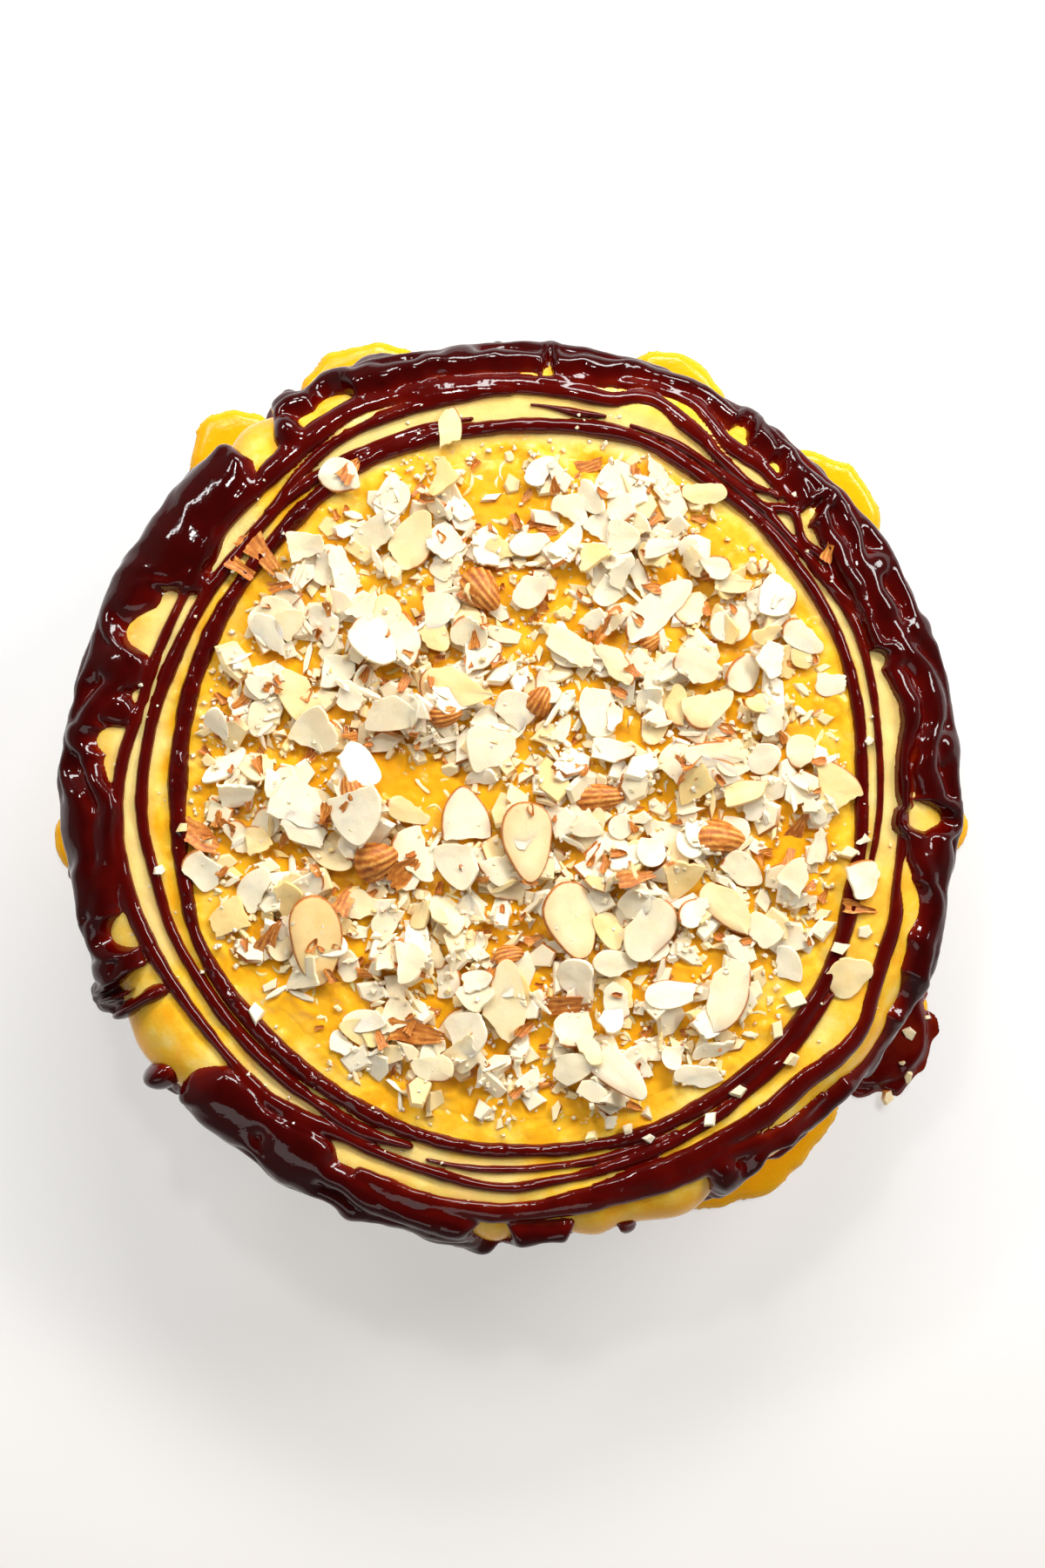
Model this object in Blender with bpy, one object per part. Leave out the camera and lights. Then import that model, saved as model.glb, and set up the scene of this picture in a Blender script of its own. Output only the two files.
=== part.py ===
"""A german chocolate cheesecake, coated with coconut custard, ringed with ganache and heaped with almonds.

Metres, +Z up. The origin is the centre of the cake's foot, which lies on z = 0.
Angles are degrees, anticlockwise from +X as seen from above.
"""

import math
import random

import bmesh
import bpy
from mathutils import Matrix, Vector

MM = 0.001
GAP = 0.3 * MM
WELD = 0.01 * MM

# The baked cake and its crumb base
CAKE_RADIUS = 112.0 * MM
CAKE_TOP = 54.0 * MM
CAKE_EDGE = 7.0 * MM
CRUST_TOP = 11.0 * MM
CRUST_RADIUS = 112.0 * MM
CAKE_SIDES = 48

# The custard layer: its thickness, and where it ends down the side
CUSTARD_TOP = 5.5 * MM
CUSTARD_SIDE = 3.2 * MM
CUSTARD_WAVE = 0.5 * MM
CUSTARD_END = 36.0 * MM
CUSTARD_TONGUES = (13, 8.0, 13.0, 4.0 * MM, 20.0 * MM)
POOL_DEPTH = 4.2 * MM
POOL_LIP = 1.3 * MM
COLUMNS = 96

# Runs of custard that reach the foot and spread there: centre, half width, reach from the axis
RUNS = (
    (42.0, 9.0, 129.5 * MM),
    (68.0, 7.5, 130.0 * MM),
    (110.5, 9.0, 130.5 * MM),
    (129.5, 6.5, 132.5 * MM),
    (186.0, 6.0, 126.0 * MM),
    (305.0, 14.0, 130.5 * MM),
    (326.0, 10.0, 137.0 * MM),
    (356.0, 5.0, 126.0 * MM),
)

# The ganache coat over the rim: thickness, and where it ends down the side
COAT_TOP = 2.6 * MM
COAT_SIDE = 2.2 * MM
COAT_SINK = 1.2 * MM
COAT_WAVE = 0.5 * MM
COAT_END = 45.5 * MM
COAT_DRIPS = (23, 4.0, 7.5, 3.0 * MM, 20.0 * MM)
COAT_MARGIN = 3.0 * MM
FALL_ANGLE = 326.5
FALL_HALF = 8.0
FALL_REACH = 133.5 * MM

# Inner edge of the coat, as angle and radius
COAT_EDGE = (
    (3, 100.5), (12, 103.5), (27, 101.5), (41, 106.5), (50, 105.0), (57, 112.5), (64, 108.0),
    (78, 109.0), (92, 108.0), (105, 109.0), (114, 113.0), (124, 113.0), (131, 107.0), (138, 104.0),
    (145, 99.5), (153, 109.0), (162, 103.5), (171, 109.0), (181, 103.5), (190, 104.5), (198, 109.0),
    (203, 105.5), (209, 115.0), (221, 115.0), (227, 106.0), (236, 104.5), (248, 110.0), (262, 112.0),
    (275, 113.0), (291, 117.0), (303, 113.0), (316, 113.5), (331, 115.0), (338, 110.0), (350, 104.0),
)

# Drizzled strands, as angle and radius; the last value is the strand's width
RING_INNER = (
    (0, 92.1), (12, 93.0), (24, 94.8), (48, 96.2), (72, 97.4), (84, 96.9), (100, 95.0), (115, 95.6),
    (126, 91.0), (140, 89.4), (155, 88.7), (170, 87.1), (185, 87.3), (200, 89.6), (230, 90.7),
    (245, 91.4), (260, 93.3), (275, 93.7), (290, 95.8), (305, 97.0), (320, 97.1), (332, 96.0),
    (344, 93.5),
)
RING_MIDDLE = (
    (0, 96.9), (15, 98.3), (28, 100.3), (38, 102.4), (42, 101.0), (46, 103.5), (52, 101.7),
    (60, 103.7), (70, 107.8), (78, 105.1), (90, 104.7), (110, 102.4), (120, 99.6), (130, 96.5),
    (140, 95.5), (155, 95.3), (185, 96.4), (200, 95.8), (225, 94.8), (240, 96.7), (255, 98.0),
    (285, 99.9), (300, 101.0), (325, 99.4), (340, 98.5),
)
RING_OUTER = (
    (105, 109.0), (115, 107.2), (122, 104.9), (140, 101.7), (150, 99.9), (160, 99.4), (168, 99.9),
    (183, 103.7), (195, 104.2), (205, 101.9), (215, 101.2), (232, 103.1), (250, 100.8),
    (270, 103.7), (282, 101.8), (292, 100.8),
)
RING_RIM = (
    (232, 105.5), (240, 107.2), (256, 109.9), (265, 110.1), (280, 106.0), (288, 105.3),
    (298, 107.2), (308, 106.7), (318, 107.6), (327, 109.5), (334, 107.4), (342, 104.4),
    (352, 103.7), (362, 104.2),
)
RING_INNER_WIDTH = 4.8 * MM
RING_MIDDLE_WIDTH = 4.4 * MM
RING_OUTER_WIDTH = 4.2 * MM
RING_STEP = 5.6
RING_LIFT = 0.9 * MM

# The almond heap
HEAP_CLEARANCE = 4.6 * MM
HEAP_EDGE = 1.6 * MM
HEAP_CROWN = 4.6 * MM
HEAP_SIDES = 36
SLICE_THICK = 1.3 * MM
SLICES = 56
CHIPS = 34
SLICE_SIDES = 8
SEED = 11
GOLDEN_TURN = 137.508
SLICE_LENGTHS = (9.0 * MM, 15.0 * MM)
CHIP_LENGTHS = (5.0 * MM, 8.0 * MM)
CHIP_SIDES = 5

# The largest slices on top of the heap: x, y, length, width, turn in degrees
LARGE_SLICES = (
    (15.5, -34.0, 19.5, 12.5, 80), (-51.0, -38.0, 18.0, 12.5, 95), (-41.5, -5.5, 17.0, 13.0, 100),
    (-14.0, -11.0, 19.5, 11.5, 105), (3.0, -11.0, 17.0, 10.5, 95), (-54.0, 16.0, 17.0, 12.5, 20),
    (-37.0, 40.0, 15.0, 11.0, 130), (36.0, -35.0, 14.5, 12.5, 80), (84.0, -1.0, 14.0, 12.0, 150),
    (38.0, 47.0, 18.5, 10.0, 50), (-7.5, 53.0, 15.0, 11.5, 30), (54.0, -53.0, 17.5, 12.0, 40),
    (18.0, 34.0, 15.0, 12.0, 160), (50.0, 7.0, 16.5, 9.0, 10), (-22.0, 42.0, 13.5, 10.5, 15),
)

# Slices that lie on the strands: x, y, length, width, turn in degrees
STRAY_SLICES = (
    (-16.4, 94.8, 13.5, 7.0, 80), (-44.0, 83.0, 12.5, 9.0, 30), (50.4, 78.6, 11.5, 9.5, 5),
    (93.0, -21.9, 11.5, 9.5, 60), (88.5, -46.7, 12.0, 9.5, 70), (62.2, -77.3, 5.0, 4.0, 20),
    (51.3, -85.3, 4.5, 3.5, 60),
)


def clear_scene():
    for thing in list(bpy.data.objects):
        bpy.data.objects.remove(thing)


def material(name, colour, roughness):
    made = bpy.data.materials.new(name)
    made.use_nodes = True
    shader = made.node_tree.nodes["Principled BSDF"]
    shader.inputs["Base Color"].default_value = (*colour, 1.0)
    shader.inputs["Roughness"].default_value = roughness
    shader.inputs["Metallic"].default_value = 0.0
    return made


def polar(angle, radius, height):
    turn = math.radians(angle)
    return (radius * math.cos(turn), radius * math.sin(turn), height)


def smooth_between(points, angle):
    """Value at an angle of a smooth curve through (angle, value) points that closes on itself."""
    count = len(points)
    angle = (angle - points[0][0]) % 360.0 + points[0][0]
    index = max(i for i in range(count) if points[i][0] <= angle)

    def knot(i):
        turns, place = divmod(i, count)
        return points[place][0] + 360.0 * turns, points[place][1]

    before, start, end, after = (knot(index + k) for k in (-1, 0, 1, 2))
    span = end[0] - start[0]
    slope_start = (end[1] - before[1]) / (end[0] - before[0]) * span
    slope_end = (after[1] - start[1]) / (after[0] - start[0]) * span
    t = (angle - start[0]) / span
    return (
        start[1] * (1 + 2 * t) * (1 - t) ** 2
        + slope_start * t * (1 - t) ** 2
        + end[1] * t * t * (3 - 2 * t)
        + slope_end * t * t * (t - 1)
    )


def turn_apart(angle, other):
    return (angle - other + 180.0) % 360.0 - 180.0


def ripple(angle, *waves):
    """Sum of (count round the cake, size, phase in degrees) waves at an angle."""
    return sum(size * math.sin(math.radians(count * angle + phase)) for count, size, phase in waves)


def skin(name, rings, ends=None):
    """Mesh over rings of equal length: between end points when given, or closed into a tube."""
    count = len(rings[0])
    points = [point for ring in rings for point in ring]
    faces = []
    pairs = [(i, i + 1) for i in range(len(rings) - 1)]
    if ends is None:
        pairs.append((len(rings) - 1, 0))
    for first, second in pairs:
        for k in range(count):
            following = (k + 1) % count
            faces.append(
                (
                    first * count + k,
                    second * count + k,
                    second * count + following,
                    first * count + following,
                )
            )
    if ends is not None:
        points += ends
        start, finish = len(points) - 2, len(points) - 1
        last = (len(rings) - 1) * count
        for k in range(count):
            following = (k + 1) % count
            faces.append((start, k, following))
            faces.append((finish, last + following, last + k))
    mesh = bpy.data.meshes.new(name)
    mesh.from_pydata(points, [], faces)
    mesh.update()
    return mesh


def placed(name, mesh, finish):
    made = bpy.data.objects.new(name, mesh)
    bpy.context.scene.collection.objects.link(made)
    mesh.materials.clear()
    mesh.materials.append(finish)
    mesh.shade_smooth()
    mesh.set_sharp_from_angle(angle=math.radians(50))
    return made


def turned(name, profile, sides):
    """Solid of revolution whose profile runs from the axis at the top to the axis at the foot."""
    angles = [360.0 * k / sides for k in range(sides)]
    rings = [[polar(a, radius, height) for a in angles] for radius, height in profile[1:-1]]
    ends = [(0.0, 0.0, profile[0][1]), (0.0, 0.0, profile[-1][1])]
    return skin(name, rings, ends)


def rim(step, steps):
    """Direction out of the rounded top edge: flat top at step 0, side at the last step."""
    turn = 0.5 * math.pi * step / steps
    return math.sin(turn), math.cos(turn)


def rim_point(step, steps, lift):
    """Radius and height of the rounded top edge, lifted off the cake."""
    out, up = rim(step, steps)
    radius = CAKE_RADIUS - CAKE_EDGE + (CAKE_EDGE + lift) * out
    height = CAKE_TOP - CAKE_EDGE + (CAKE_EDGE + lift) * up
    return radius, height


def tongues(seed, kinds):
    """Hanging tongues spread round the side: centre, half width and length of each.

    Kinds holds their count, the least and most half width, and the least and most length.
    """
    count, narrow, wide, short, long = kinds
    draw = random.Random(seed)
    made = []
    for k in range(count):
        centre = 360.0 * (k + draw.uniform(-0.3, 0.3)) / count
        made.append((centre, draw.uniform(narrow, wide), draw.uniform(short, long)))
    return made


def hang(made, angle):
    """How far the longest tongue at an angle hangs."""
    longest = 0.0
    for centre, half, length in made:
        off = turn_apart(angle, centre) / half
        if abs(off) < 1.0:
            longest = max(longest, length * (1.0 - off * off) ** 0.7)
    return longest


def run_share(angle, centre, half):
    """How far a run spreads at an angle, from 0 at its sides to 1 in its middle."""
    off = turn_apart(angle, centre) / half
    return math.sqrt(1.0 - off * off) if abs(off) < 1.0 else 0.0


def pool_reach(angle):
    """Radius that the custard reaches on the ground at an angle, or 0 where it stays on the side."""
    foot = CAKE_RADIUS + CUSTARD_SIDE
    reach = 0.0
    for centre, half, limit in RUNS:
        share = run_share(angle, centre, half)
        if share > 0.3:
            reach = max(reach, foot + (limit - foot) * share)
    return reach


def custard_side(angle):
    return CUSTARD_SIDE + ripple(angle, (9, CUSTARD_WAVE, 0), (23, 0.5 * CUSTARD_WAVE, 40))


def custard_end(angle):
    """Height at which the custard's edge stops on the side."""
    return CUSTARD_END - hang(tongues(SEED, CUSTARD_TONGUES), angle)


def custard_column(angle, grow):
    """Outer and inner points, as radius and height, of the custard at one angle.

    Grow lifts the outer side and lowers the inner one, for the space that it takes from its neighbours.
    """
    top = GAP + CUSTARD_TOP + grow
    side = GAP + custard_side(angle) + grow
    under = GAP - grow
    outer = [(60.0 * MM, CAKE_TOP + top), (97.0 * MM, CAKE_TOP + top)]
    inner = [(60.0 * MM, CAKE_TOP + under)]
    for step in range(4):
        share = step / 3
        outer.append(rim_point(step, 3, top + (side - top) * share))
        inner.append(rim_point(step, 3, under))
    wall, back = CAKE_RADIUS + side, CAKE_RADIUS + under
    shoulder = CAKE_TOP - CAKE_EDGE
    reach = pool_reach(angle)
    floor = -grow
    if reach:
        reach += grow
        outer += [
            (wall + 0.4 * MM, 0.5 * shoulder),
            (wall + 1.2 * MM, POOL_DEPTH + 3.0 * MM),
            (0.45 * wall + 0.55 * reach, POOL_DEPTH * 0.8 + grow),
            (reach, POOL_LIP + grow),
        ]
        inner += [(back, 0.5 * shoulder), (back, floor), (reach, floor)]
    else:
        low = custard_end(angle) - grow
        fall = shoulder - low
        outer += [
            (wall, shoulder - 0.35 * fall),
            (wall + 0.5 * MM, shoulder - 0.7 * fall),
            (wall, low + 2.5 * MM),
            (back + 1.2 * MM, low),
        ]
        inner += [(back, shoulder - 0.35 * fall), (back, shoulder - 0.7 * fall), (back, low)]
    return outer, inner


def custard_mesh(name, grow=0.0):
    angles = [360.0 * k / COLUMNS for k in range(COLUMNS)]
    columns = [custard_column(angle, grow) for angle in angles]
    rows = []
    for part in range(len(columns[0][0])):
        rows.append([polar(a, *column[0][part]) for a, column in zip(angles, columns)])
    for part in reversed(range(len(columns[0][1]))):
        rows.append([polar(a, *column[1][part]) for a, column in zip(angles, columns)])
    top = CAKE_TOP + GAP + CUSTARD_TOP + grow
    return skin(name, rows, [(0.0, 0.0, top), (0.0, 0.0, CAKE_TOP + GAP - grow)])


def coat_end(angle):
    """Height at which the ganache coat stops on the side, just above the custard's edge at the lowest."""
    low = COAT_END - hang(tongues(SEED + 1, COAT_DRIPS), angle)
    return max(low, custard_end(angle) + COAT_MARGIN)


def coat_side(angle):
    return COAT_SIDE + ripple(angle, (14, COAT_WAVE, 0), (29, 0.7 * COAT_WAVE, 30))


def coat_column(angle):
    """Outer and inner points, as radius and height, of the ganache coat at one angle."""
    side = GAP + custard_side(angle)
    top = GAP + CUSTARD_TOP
    edge = smooth_between(COAT_EDGE, angle) * MM
    flat = CAKE_RADIUS - CAKE_EDGE
    inward = min(edge, flat - 0.4 * MM)
    bare = max(0.0, edge - flat) / (CAKE_EDGE + side)
    outer = [(inward, CAKE_TOP + top - 0.3 * MM), (0.7 * inward + 0.3 * flat, CAKE_TOP + top + 1.6 * MM)]
    inner = [(inward, CAKE_TOP + top - COAT_SINK)]
    for step in range(4):
        share = step / 3
        base = top + (side - top) * share
        thick = COAT_TOP + (coat_side(angle) - COAT_TOP) * share
        covered = min(1.0, max(0.0, (share + 0.25 - bare) * 4.0))
        outer.append(rim_point(step, 3, base + thick * covered - 0.9 * MM * (1.0 - covered)))
        inner.append(rim_point(step, 3, base - COAT_SINK))
    if covered < 1.0:
        outer[0] = (inward, CAKE_TOP + top - 0.6 * MM)
    if bare > 0.0:
        outer[1] = (0.7 * inward + 0.3 * flat, CAKE_TOP + top - 0.5 * MM)
    wall, back = CAKE_RADIUS + side, CAKE_RADIUS + side - COAT_SINK
    shoulder = CAKE_TOP - CAKE_EDGE
    share = run_share(angle, FALL_ANGLE, FALL_HALF)
    if share > 0.3:
        reach = wall + (FALL_REACH - wall) * share
        outer += [(wall + 2.6 * MM, 0.5 * shoulder), (wall + 3.6 * MM, 9.5 * MM), (reach, 3.4 * MM)]
        inner += [(back, 0.5 * shoulder), (back, 5.0 * MM), (reach - 2.0 * MM, 2.0 * MM)]
    else:
        low = coat_end(angle)
        fall = shoulder - low
        outer += [
            (wall + coat_side(angle), shoulder - 0.5 * fall),
            (wall + coat_side(angle) + 0.3 * MM, low + 2.5 * MM),
            (wall + 0.8 * MM, low),
        ]
        inner += [(back, shoulder - 0.5 * fall), (back, low + 2.5 * MM), (back, low + 0.6 * MM)]
    return outer, inner


def coat_mesh(name):
    angles = [360.0 * k / COLUMNS for k in range(COLUMNS)]
    columns = [coat_column(angle) for angle in angles]
    rows = []
    for part in range(len(columns[0][0])):
        rows.append([polar(a, *column[0][part]) for a, column in zip(angles, columns)])
    for part in reversed(range(len(columns[0][1]))):
        rows.append([polar(a, *column[1][part]) for a, column in zip(angles, columns)])
    return skin(name, rows)


def strand_height(radius, width):
    """Height of a strand's centre line where it lies on the custard."""
    top = CAKE_TOP + GAP + CUSTARD_TOP
    flat = CAKE_RADIUS - CAKE_EDGE
    over = max(0.0, radius - flat)
    bend = CAKE_EDGE + CUSTARD_TOP
    return top + RING_LIFT - bend + math.sqrt(bend * bend - over * over)


def strand_mesh(name, points, width, closed):
    """Round strand laid on the custard through (angle, radius) points."""
    curve = bpy.data.curves.new(name, "CURVE")
    curve.dimensions = "3D"
    curve.bevel_depth = 0.5 * width
    curve.bevel_resolution = 1
    curve.use_fill_caps = True
    first = points[0][0]
    last = first + 360.0 if closed else points[-1][0]
    count = int(round((last - first) / RING_STEP))
    stops = count if closed else count + 1
    spline = curve.splines.new("POLY")
    spline.points.add(stops - 1)
    spline.use_cyclic_u = closed
    for k in range(stops):
        angle = first + (last - first) * k / count
        radius = smooth_between(points, angle) * MM
        spline.points[k].co = (*polar(angle, radius, strand_height(radius, width)), 1.0)
        spline.points[k].radius = 1.0 + ripple(angle, (5, 0.12, 0), (13, 0.1, 50))
    holder = bpy.data.objects.new(name, curve)
    bpy.context.scene.collection.objects.link(holder)
    bpy.context.view_layer.update()
    mesh = bpy.data.meshes.new_from_object(holder.evaluated_get(bpy.context.evaluated_depsgraph_get()))
    bpy.data.objects.remove(holder)
    work = bmesh.new()
    work.from_mesh(mesh)
    bmesh.ops.remove_doubles(work, verts=work.verts, dist=WELD)
    work.to_mesh(mesh)
    work.free()
    return mesh


def slice_mesh(name, length, width, thick, placing, count=SLICE_SIDES):
    """Almond slice: an oval plate with one blunt and one pointed end, moved by a matrix."""
    rings = []
    for height in (0.5 * thick, -0.5 * thick):
        ring = []
        for k in range(count):
            turn = 2.0 * math.pi * k / count
            across = 0.5 * width * math.sin(turn) * (1.0 - 0.22 * math.cos(turn))
            ring.append(tuple(placing @ Vector((0.5 * length * math.cos(turn), across, height))))
        rings.append(ring)
    faces = [tuple(range(count)), tuple(reversed(range(count, 2 * count)))]
    for k in range(count):
        following = (k + 1) % count
        faces.append((k, k + count, following + count, following))
    mesh = bpy.data.meshes.new(name)
    mesh.from_pydata(rings[0] + rings[1], [], faces)
    mesh.update()
    return mesh


def laid(x, y, z, turn, tilt, lean):
    """Placing of a piece that lies at a spot, turned round Z and tilted towards a side."""
    return (
        Matrix.Translation((x, y, z))
        @ Matrix.Rotation(math.radians(lean), 4, "Z")
        @ Matrix.Rotation(math.radians(tilt), 4, "X")
        @ Matrix.Rotation(math.radians(turn - lean), 4, "Z")
    )


def heap_edge(angle):
    """Outline radius of the almond heap, inside the innermost strand."""
    ring = smooth_between(RING_INNER, angle) * MM
    uneven = ripple(angle, (5, 1.1 * MM, 30), (11, 0.9 * MM, 0), (17, 0.6 * MM, 80))
    return min(ring, 94.0 * MM) - HEAP_CLEARANCE - 2.4 * MM + uneven


def heap_height(radius, edge, angle):
    """Height of the heap's core above the custard."""
    share = min(1.0, radius / edge)
    bumps = ripple(angle, (3, 0.5 * MM, 10), (8, 0.35 * MM, 200 * share)) * math.sin(math.pi * share)
    return HEAP_EDGE + (HEAP_CROWN - HEAP_EDGE) * (1.0 - share**2) + bumps


def heap_mesh(name, floor):
    angles = [360.0 * k / HEAP_SIDES for k in range(HEAP_SIDES)]
    rows = []
    for share in (0.25, 0.5, 0.75, 0.94):
        ring = []
        for angle in angles:
            edge = heap_edge(angle)
            height = floor + heap_height(share * edge, edge, angle)
            ring.append(polar(angle, share * edge, height))
        rows.append(ring)
    rows.append([polar(a, heap_edge(a), floor + 0.5 * HEAP_EDGE) for a in angles])
    rows.append([polar(a, 0.985 * heap_edge(a), floor) for a in angles])
    return skin(name, rows, [(0.0, 0.0, floor + HEAP_CROWN), (0.0, 0.0, floor)])


def scattered(floor, seed, pieces, shortest, longest, count):
    """Pieces with a number of corners, spread evenly over the heap and half sunk in it."""
    draw = random.Random(seed)
    meshes = []
    for k in range(pieces):
        angle = GOLDEN_TURN * k + draw.uniform(-9, 9)
        edge = heap_edge(angle)
        radius = edge * 0.93 * math.sqrt((k + 0.5) / pieces)
        length = draw.uniform(shortest, longest)
        radius = min(radius, edge - 0.32 * length)
        x, y, _ = polar(angle, radius, 0.0)
        z = floor + heap_height(radius, edge, angle) + draw.uniform(0.9, 2.0) * MM
        tilt = draw.uniform(8, 26) * (1.0 if radius < 0.75 * edge else 0.5)
        placing = laid(x, y, z, draw.uniform(0, 360), tilt, draw.uniform(0, 360))
        width = length * draw.uniform(0.55, 0.8)
        meshes.append(slice_mesh("slice", length, width, SLICE_THICK, placing, count))
    return meshes


def large_slices(floor):
    meshes = []
    draw = random.Random(SEED + 1)
    for x, y, length, width, turn in LARGE_SLICES:
        radius = math.hypot(x, y) * MM
        angle = math.degrees(math.atan2(y, x))
        edge = heap_edge(angle)
        pull = min(1.0, (edge - 0.36 * length * MM) / radius)
        z = floor + heap_height(radius, edge, angle) + 1.3 * MM
        tilt = draw.uniform(3, 9)
        placing = laid(pull * x * MM, pull * y * MM, z, turn, tilt, draw.uniform(0, 360))
        meshes.append(slice_mesh("slice", length * MM, width * MM, SLICE_THICK, placing))
    return meshes


def stray_slices(top):
    meshes = []
    for x, y, length, width, turn in STRAY_SLICES:
        placing = laid(x * MM, y * MM, top + 2.9 * MM, turn, 3.0, turn + 40.0)
        meshes.append(slice_mesh("slice", length * MM, width * MM, SLICE_THICK, placing))
    return meshes


def boolean(target, operation, tools):
    """Applies one Boolean of a collection of meshes to an object, and removes the collection's objects."""
    group = bpy.data.collections.new("tools")
    bpy.context.scene.collection.children.link(group)
    helpers = []
    for mesh in tools:
        helper = bpy.data.objects.new("helper", mesh)
        helper.hide_render = True
        helper.display_type = "WIRE"
        group.objects.link(helper)
        helpers.append(helper)
    step = target.modifiers.new(operation.lower(), "BOOLEAN")
    step.operation = operation
    step.operand_type = "COLLECTION"
    step.collection = group
    step.solver = "MANIFOLD"
    bpy.context.view_layer.update()
    graph = bpy.context.evaluated_depsgraph_get()
    mesh = bpy.data.meshes.new_from_object(target.evaluated_get(graph))
    target.modifiers.clear()
    target.data = mesh
    for helper in helpers:
        bpy.data.objects.remove(helper)
    bpy.data.collections.remove(group)


def keep_largest(target):
    """Drops the scraps that a Boolean left loose beside the main body."""
    work = bmesh.new()
    work.from_mesh(target.data)
    unseen = set(work.verts)
    islands = []
    while unseen:
        island = {unseen.pop()}
        front = list(island)
        while front:
            corner = front.pop()
            near = {edge.other_vert(corner) for edge in corner.link_edges} & unseen
            unseen -= near
            island |= near
            front += near
        islands.append(island)
    islands.sort(key=len)
    for island in islands[:-1]:
        bmesh.ops.delete(work, geom=list(island), context="VERTS")
    work.to_mesh(target.data)
    work.free()


def make_crust(finish):
    profile = [
        (0.0, CRUST_TOP),
        (CRUST_RADIUS - 1.0 * MM, CRUST_TOP),
        (CRUST_RADIUS, CRUST_TOP - 1.0 * MM),
        (CRUST_RADIUS, 1.0 * MM),
        (CRUST_RADIUS - 1.0 * MM, 0.0),
        (0.0, 0.0),
    ]
    return placed("crust", turned("crust", profile, CAKE_SIDES), finish)


def make_cheesecake(finish):
    foot = CRUST_TOP + GAP
    profile = [(0.0, CAKE_TOP)]
    profile += [rim_point(step, 3, 0.0) for step in range(4)]
    profile += [(CAKE_RADIUS, foot + 0.8 * MM), (CAKE_RADIUS - 0.8 * MM, foot), (0.0, foot)]
    return placed("cheesecake", turned("cheesecake", profile, CAKE_SIDES), finish)


def make_ganache(finish):
    """Coat and strands in one piece, lying on the custard, with the slices that lie on the strands."""
    made = placed("ganache", coat_mesh("ganache"), finish)
    strands = [
        strand_mesh("ring", RING_INNER, RING_INNER_WIDTH, True),
        strand_mesh("ring", RING_MIDDLE, RING_MIDDLE_WIDTH, True),
        strand_mesh("ring", RING_OUTER, RING_OUTER_WIDTH, False),
        strand_mesh("ring", RING_RIM, RING_OUTER_WIDTH, False),
    ]
    strays = stray_slices(CAKE_TOP + GAP + CUSTARD_TOP)
    boolean(made, "UNION", strands + strays)
    boolean(made, "DIFFERENCE", [custard_mesh("space", GAP)])
    keep_largest(made)
    return made


def make_almonds(finish):
    floor = CAKE_TOP + GAP + CUSTARD_TOP + GAP
    made = placed("almond_topping", heap_mesh("almond_topping", floor), finish)
    slices = scattered(floor, SEED, SLICES, *SLICE_LENGTHS, SLICE_SIDES)
    chips = scattered(floor, SEED + 2, CHIPS, *CHIP_LENGTHS, CHIP_SIDES)
    boolean(made, "UNION", slices + chips + large_slices(floor))
    keep_largest(made)
    return made


def main():
    clear_scene()
    make_crust(material("crumb_crust", (0.06, 0.03, 0.018), 0.9))
    make_cheesecake(material("cheesecake_side", (0.16, 0.075, 0.04), 0.7))
    placed("custard_topping", custard_mesh("custard_topping"), material("custard", (0.85, 0.5, 0.06), 0.25))
    make_ganache(material("ganache", (0.035, 0.008, 0.006), 0.12))
    make_almonds(material("almond", (0.86, 0.78, 0.6), 0.6))


main()
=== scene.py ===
"""Looks of the german chocolate cheesecake.

The frame and the meshes are in metres, +Z up. The named sizes below are in mm, unless a comment says
metres, and the angles in degrees, anticlockwise from +X as seen from above. The custard and the ganache
are sheets of varying thickness, laid on the cake. A sheet lives on a grid of angle round the cake and
station: the distance along the cake's outside from its centre, over the rim, down the side and out over
the ground.
"""

import math
import random

import bmesh
import bpy
import numpy as np
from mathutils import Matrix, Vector


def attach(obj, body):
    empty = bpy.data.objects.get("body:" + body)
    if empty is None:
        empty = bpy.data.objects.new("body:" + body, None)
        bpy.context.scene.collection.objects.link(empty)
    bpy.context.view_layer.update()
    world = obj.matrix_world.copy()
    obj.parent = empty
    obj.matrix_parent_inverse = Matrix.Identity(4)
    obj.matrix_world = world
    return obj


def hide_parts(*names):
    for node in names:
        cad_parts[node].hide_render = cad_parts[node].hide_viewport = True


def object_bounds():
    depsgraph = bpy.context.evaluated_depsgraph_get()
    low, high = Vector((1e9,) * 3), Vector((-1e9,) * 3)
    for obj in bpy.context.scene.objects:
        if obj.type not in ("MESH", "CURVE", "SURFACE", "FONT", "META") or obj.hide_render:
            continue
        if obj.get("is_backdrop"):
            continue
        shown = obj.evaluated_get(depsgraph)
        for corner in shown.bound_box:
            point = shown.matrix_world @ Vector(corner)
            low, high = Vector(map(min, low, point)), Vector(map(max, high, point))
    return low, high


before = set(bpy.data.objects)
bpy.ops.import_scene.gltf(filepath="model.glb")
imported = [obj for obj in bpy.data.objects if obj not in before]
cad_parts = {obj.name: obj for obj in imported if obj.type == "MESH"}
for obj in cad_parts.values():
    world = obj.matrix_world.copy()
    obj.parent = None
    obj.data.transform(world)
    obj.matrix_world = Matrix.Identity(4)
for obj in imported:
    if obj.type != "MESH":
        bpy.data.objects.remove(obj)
CAD_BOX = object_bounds()

MM = 0.001
SEED = 11

# The cake
CAKE_RADIUS = 112.0
CAKE_TOP = 54.0
CAKE_EDGE = 7.0
CRUST_TOP = 11.0
FOOT_FILLET = 5.0
# Grid points round the side of the cake and of its crust
SIDE_TURNS = 480
CRUST_TURNS = 640

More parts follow.
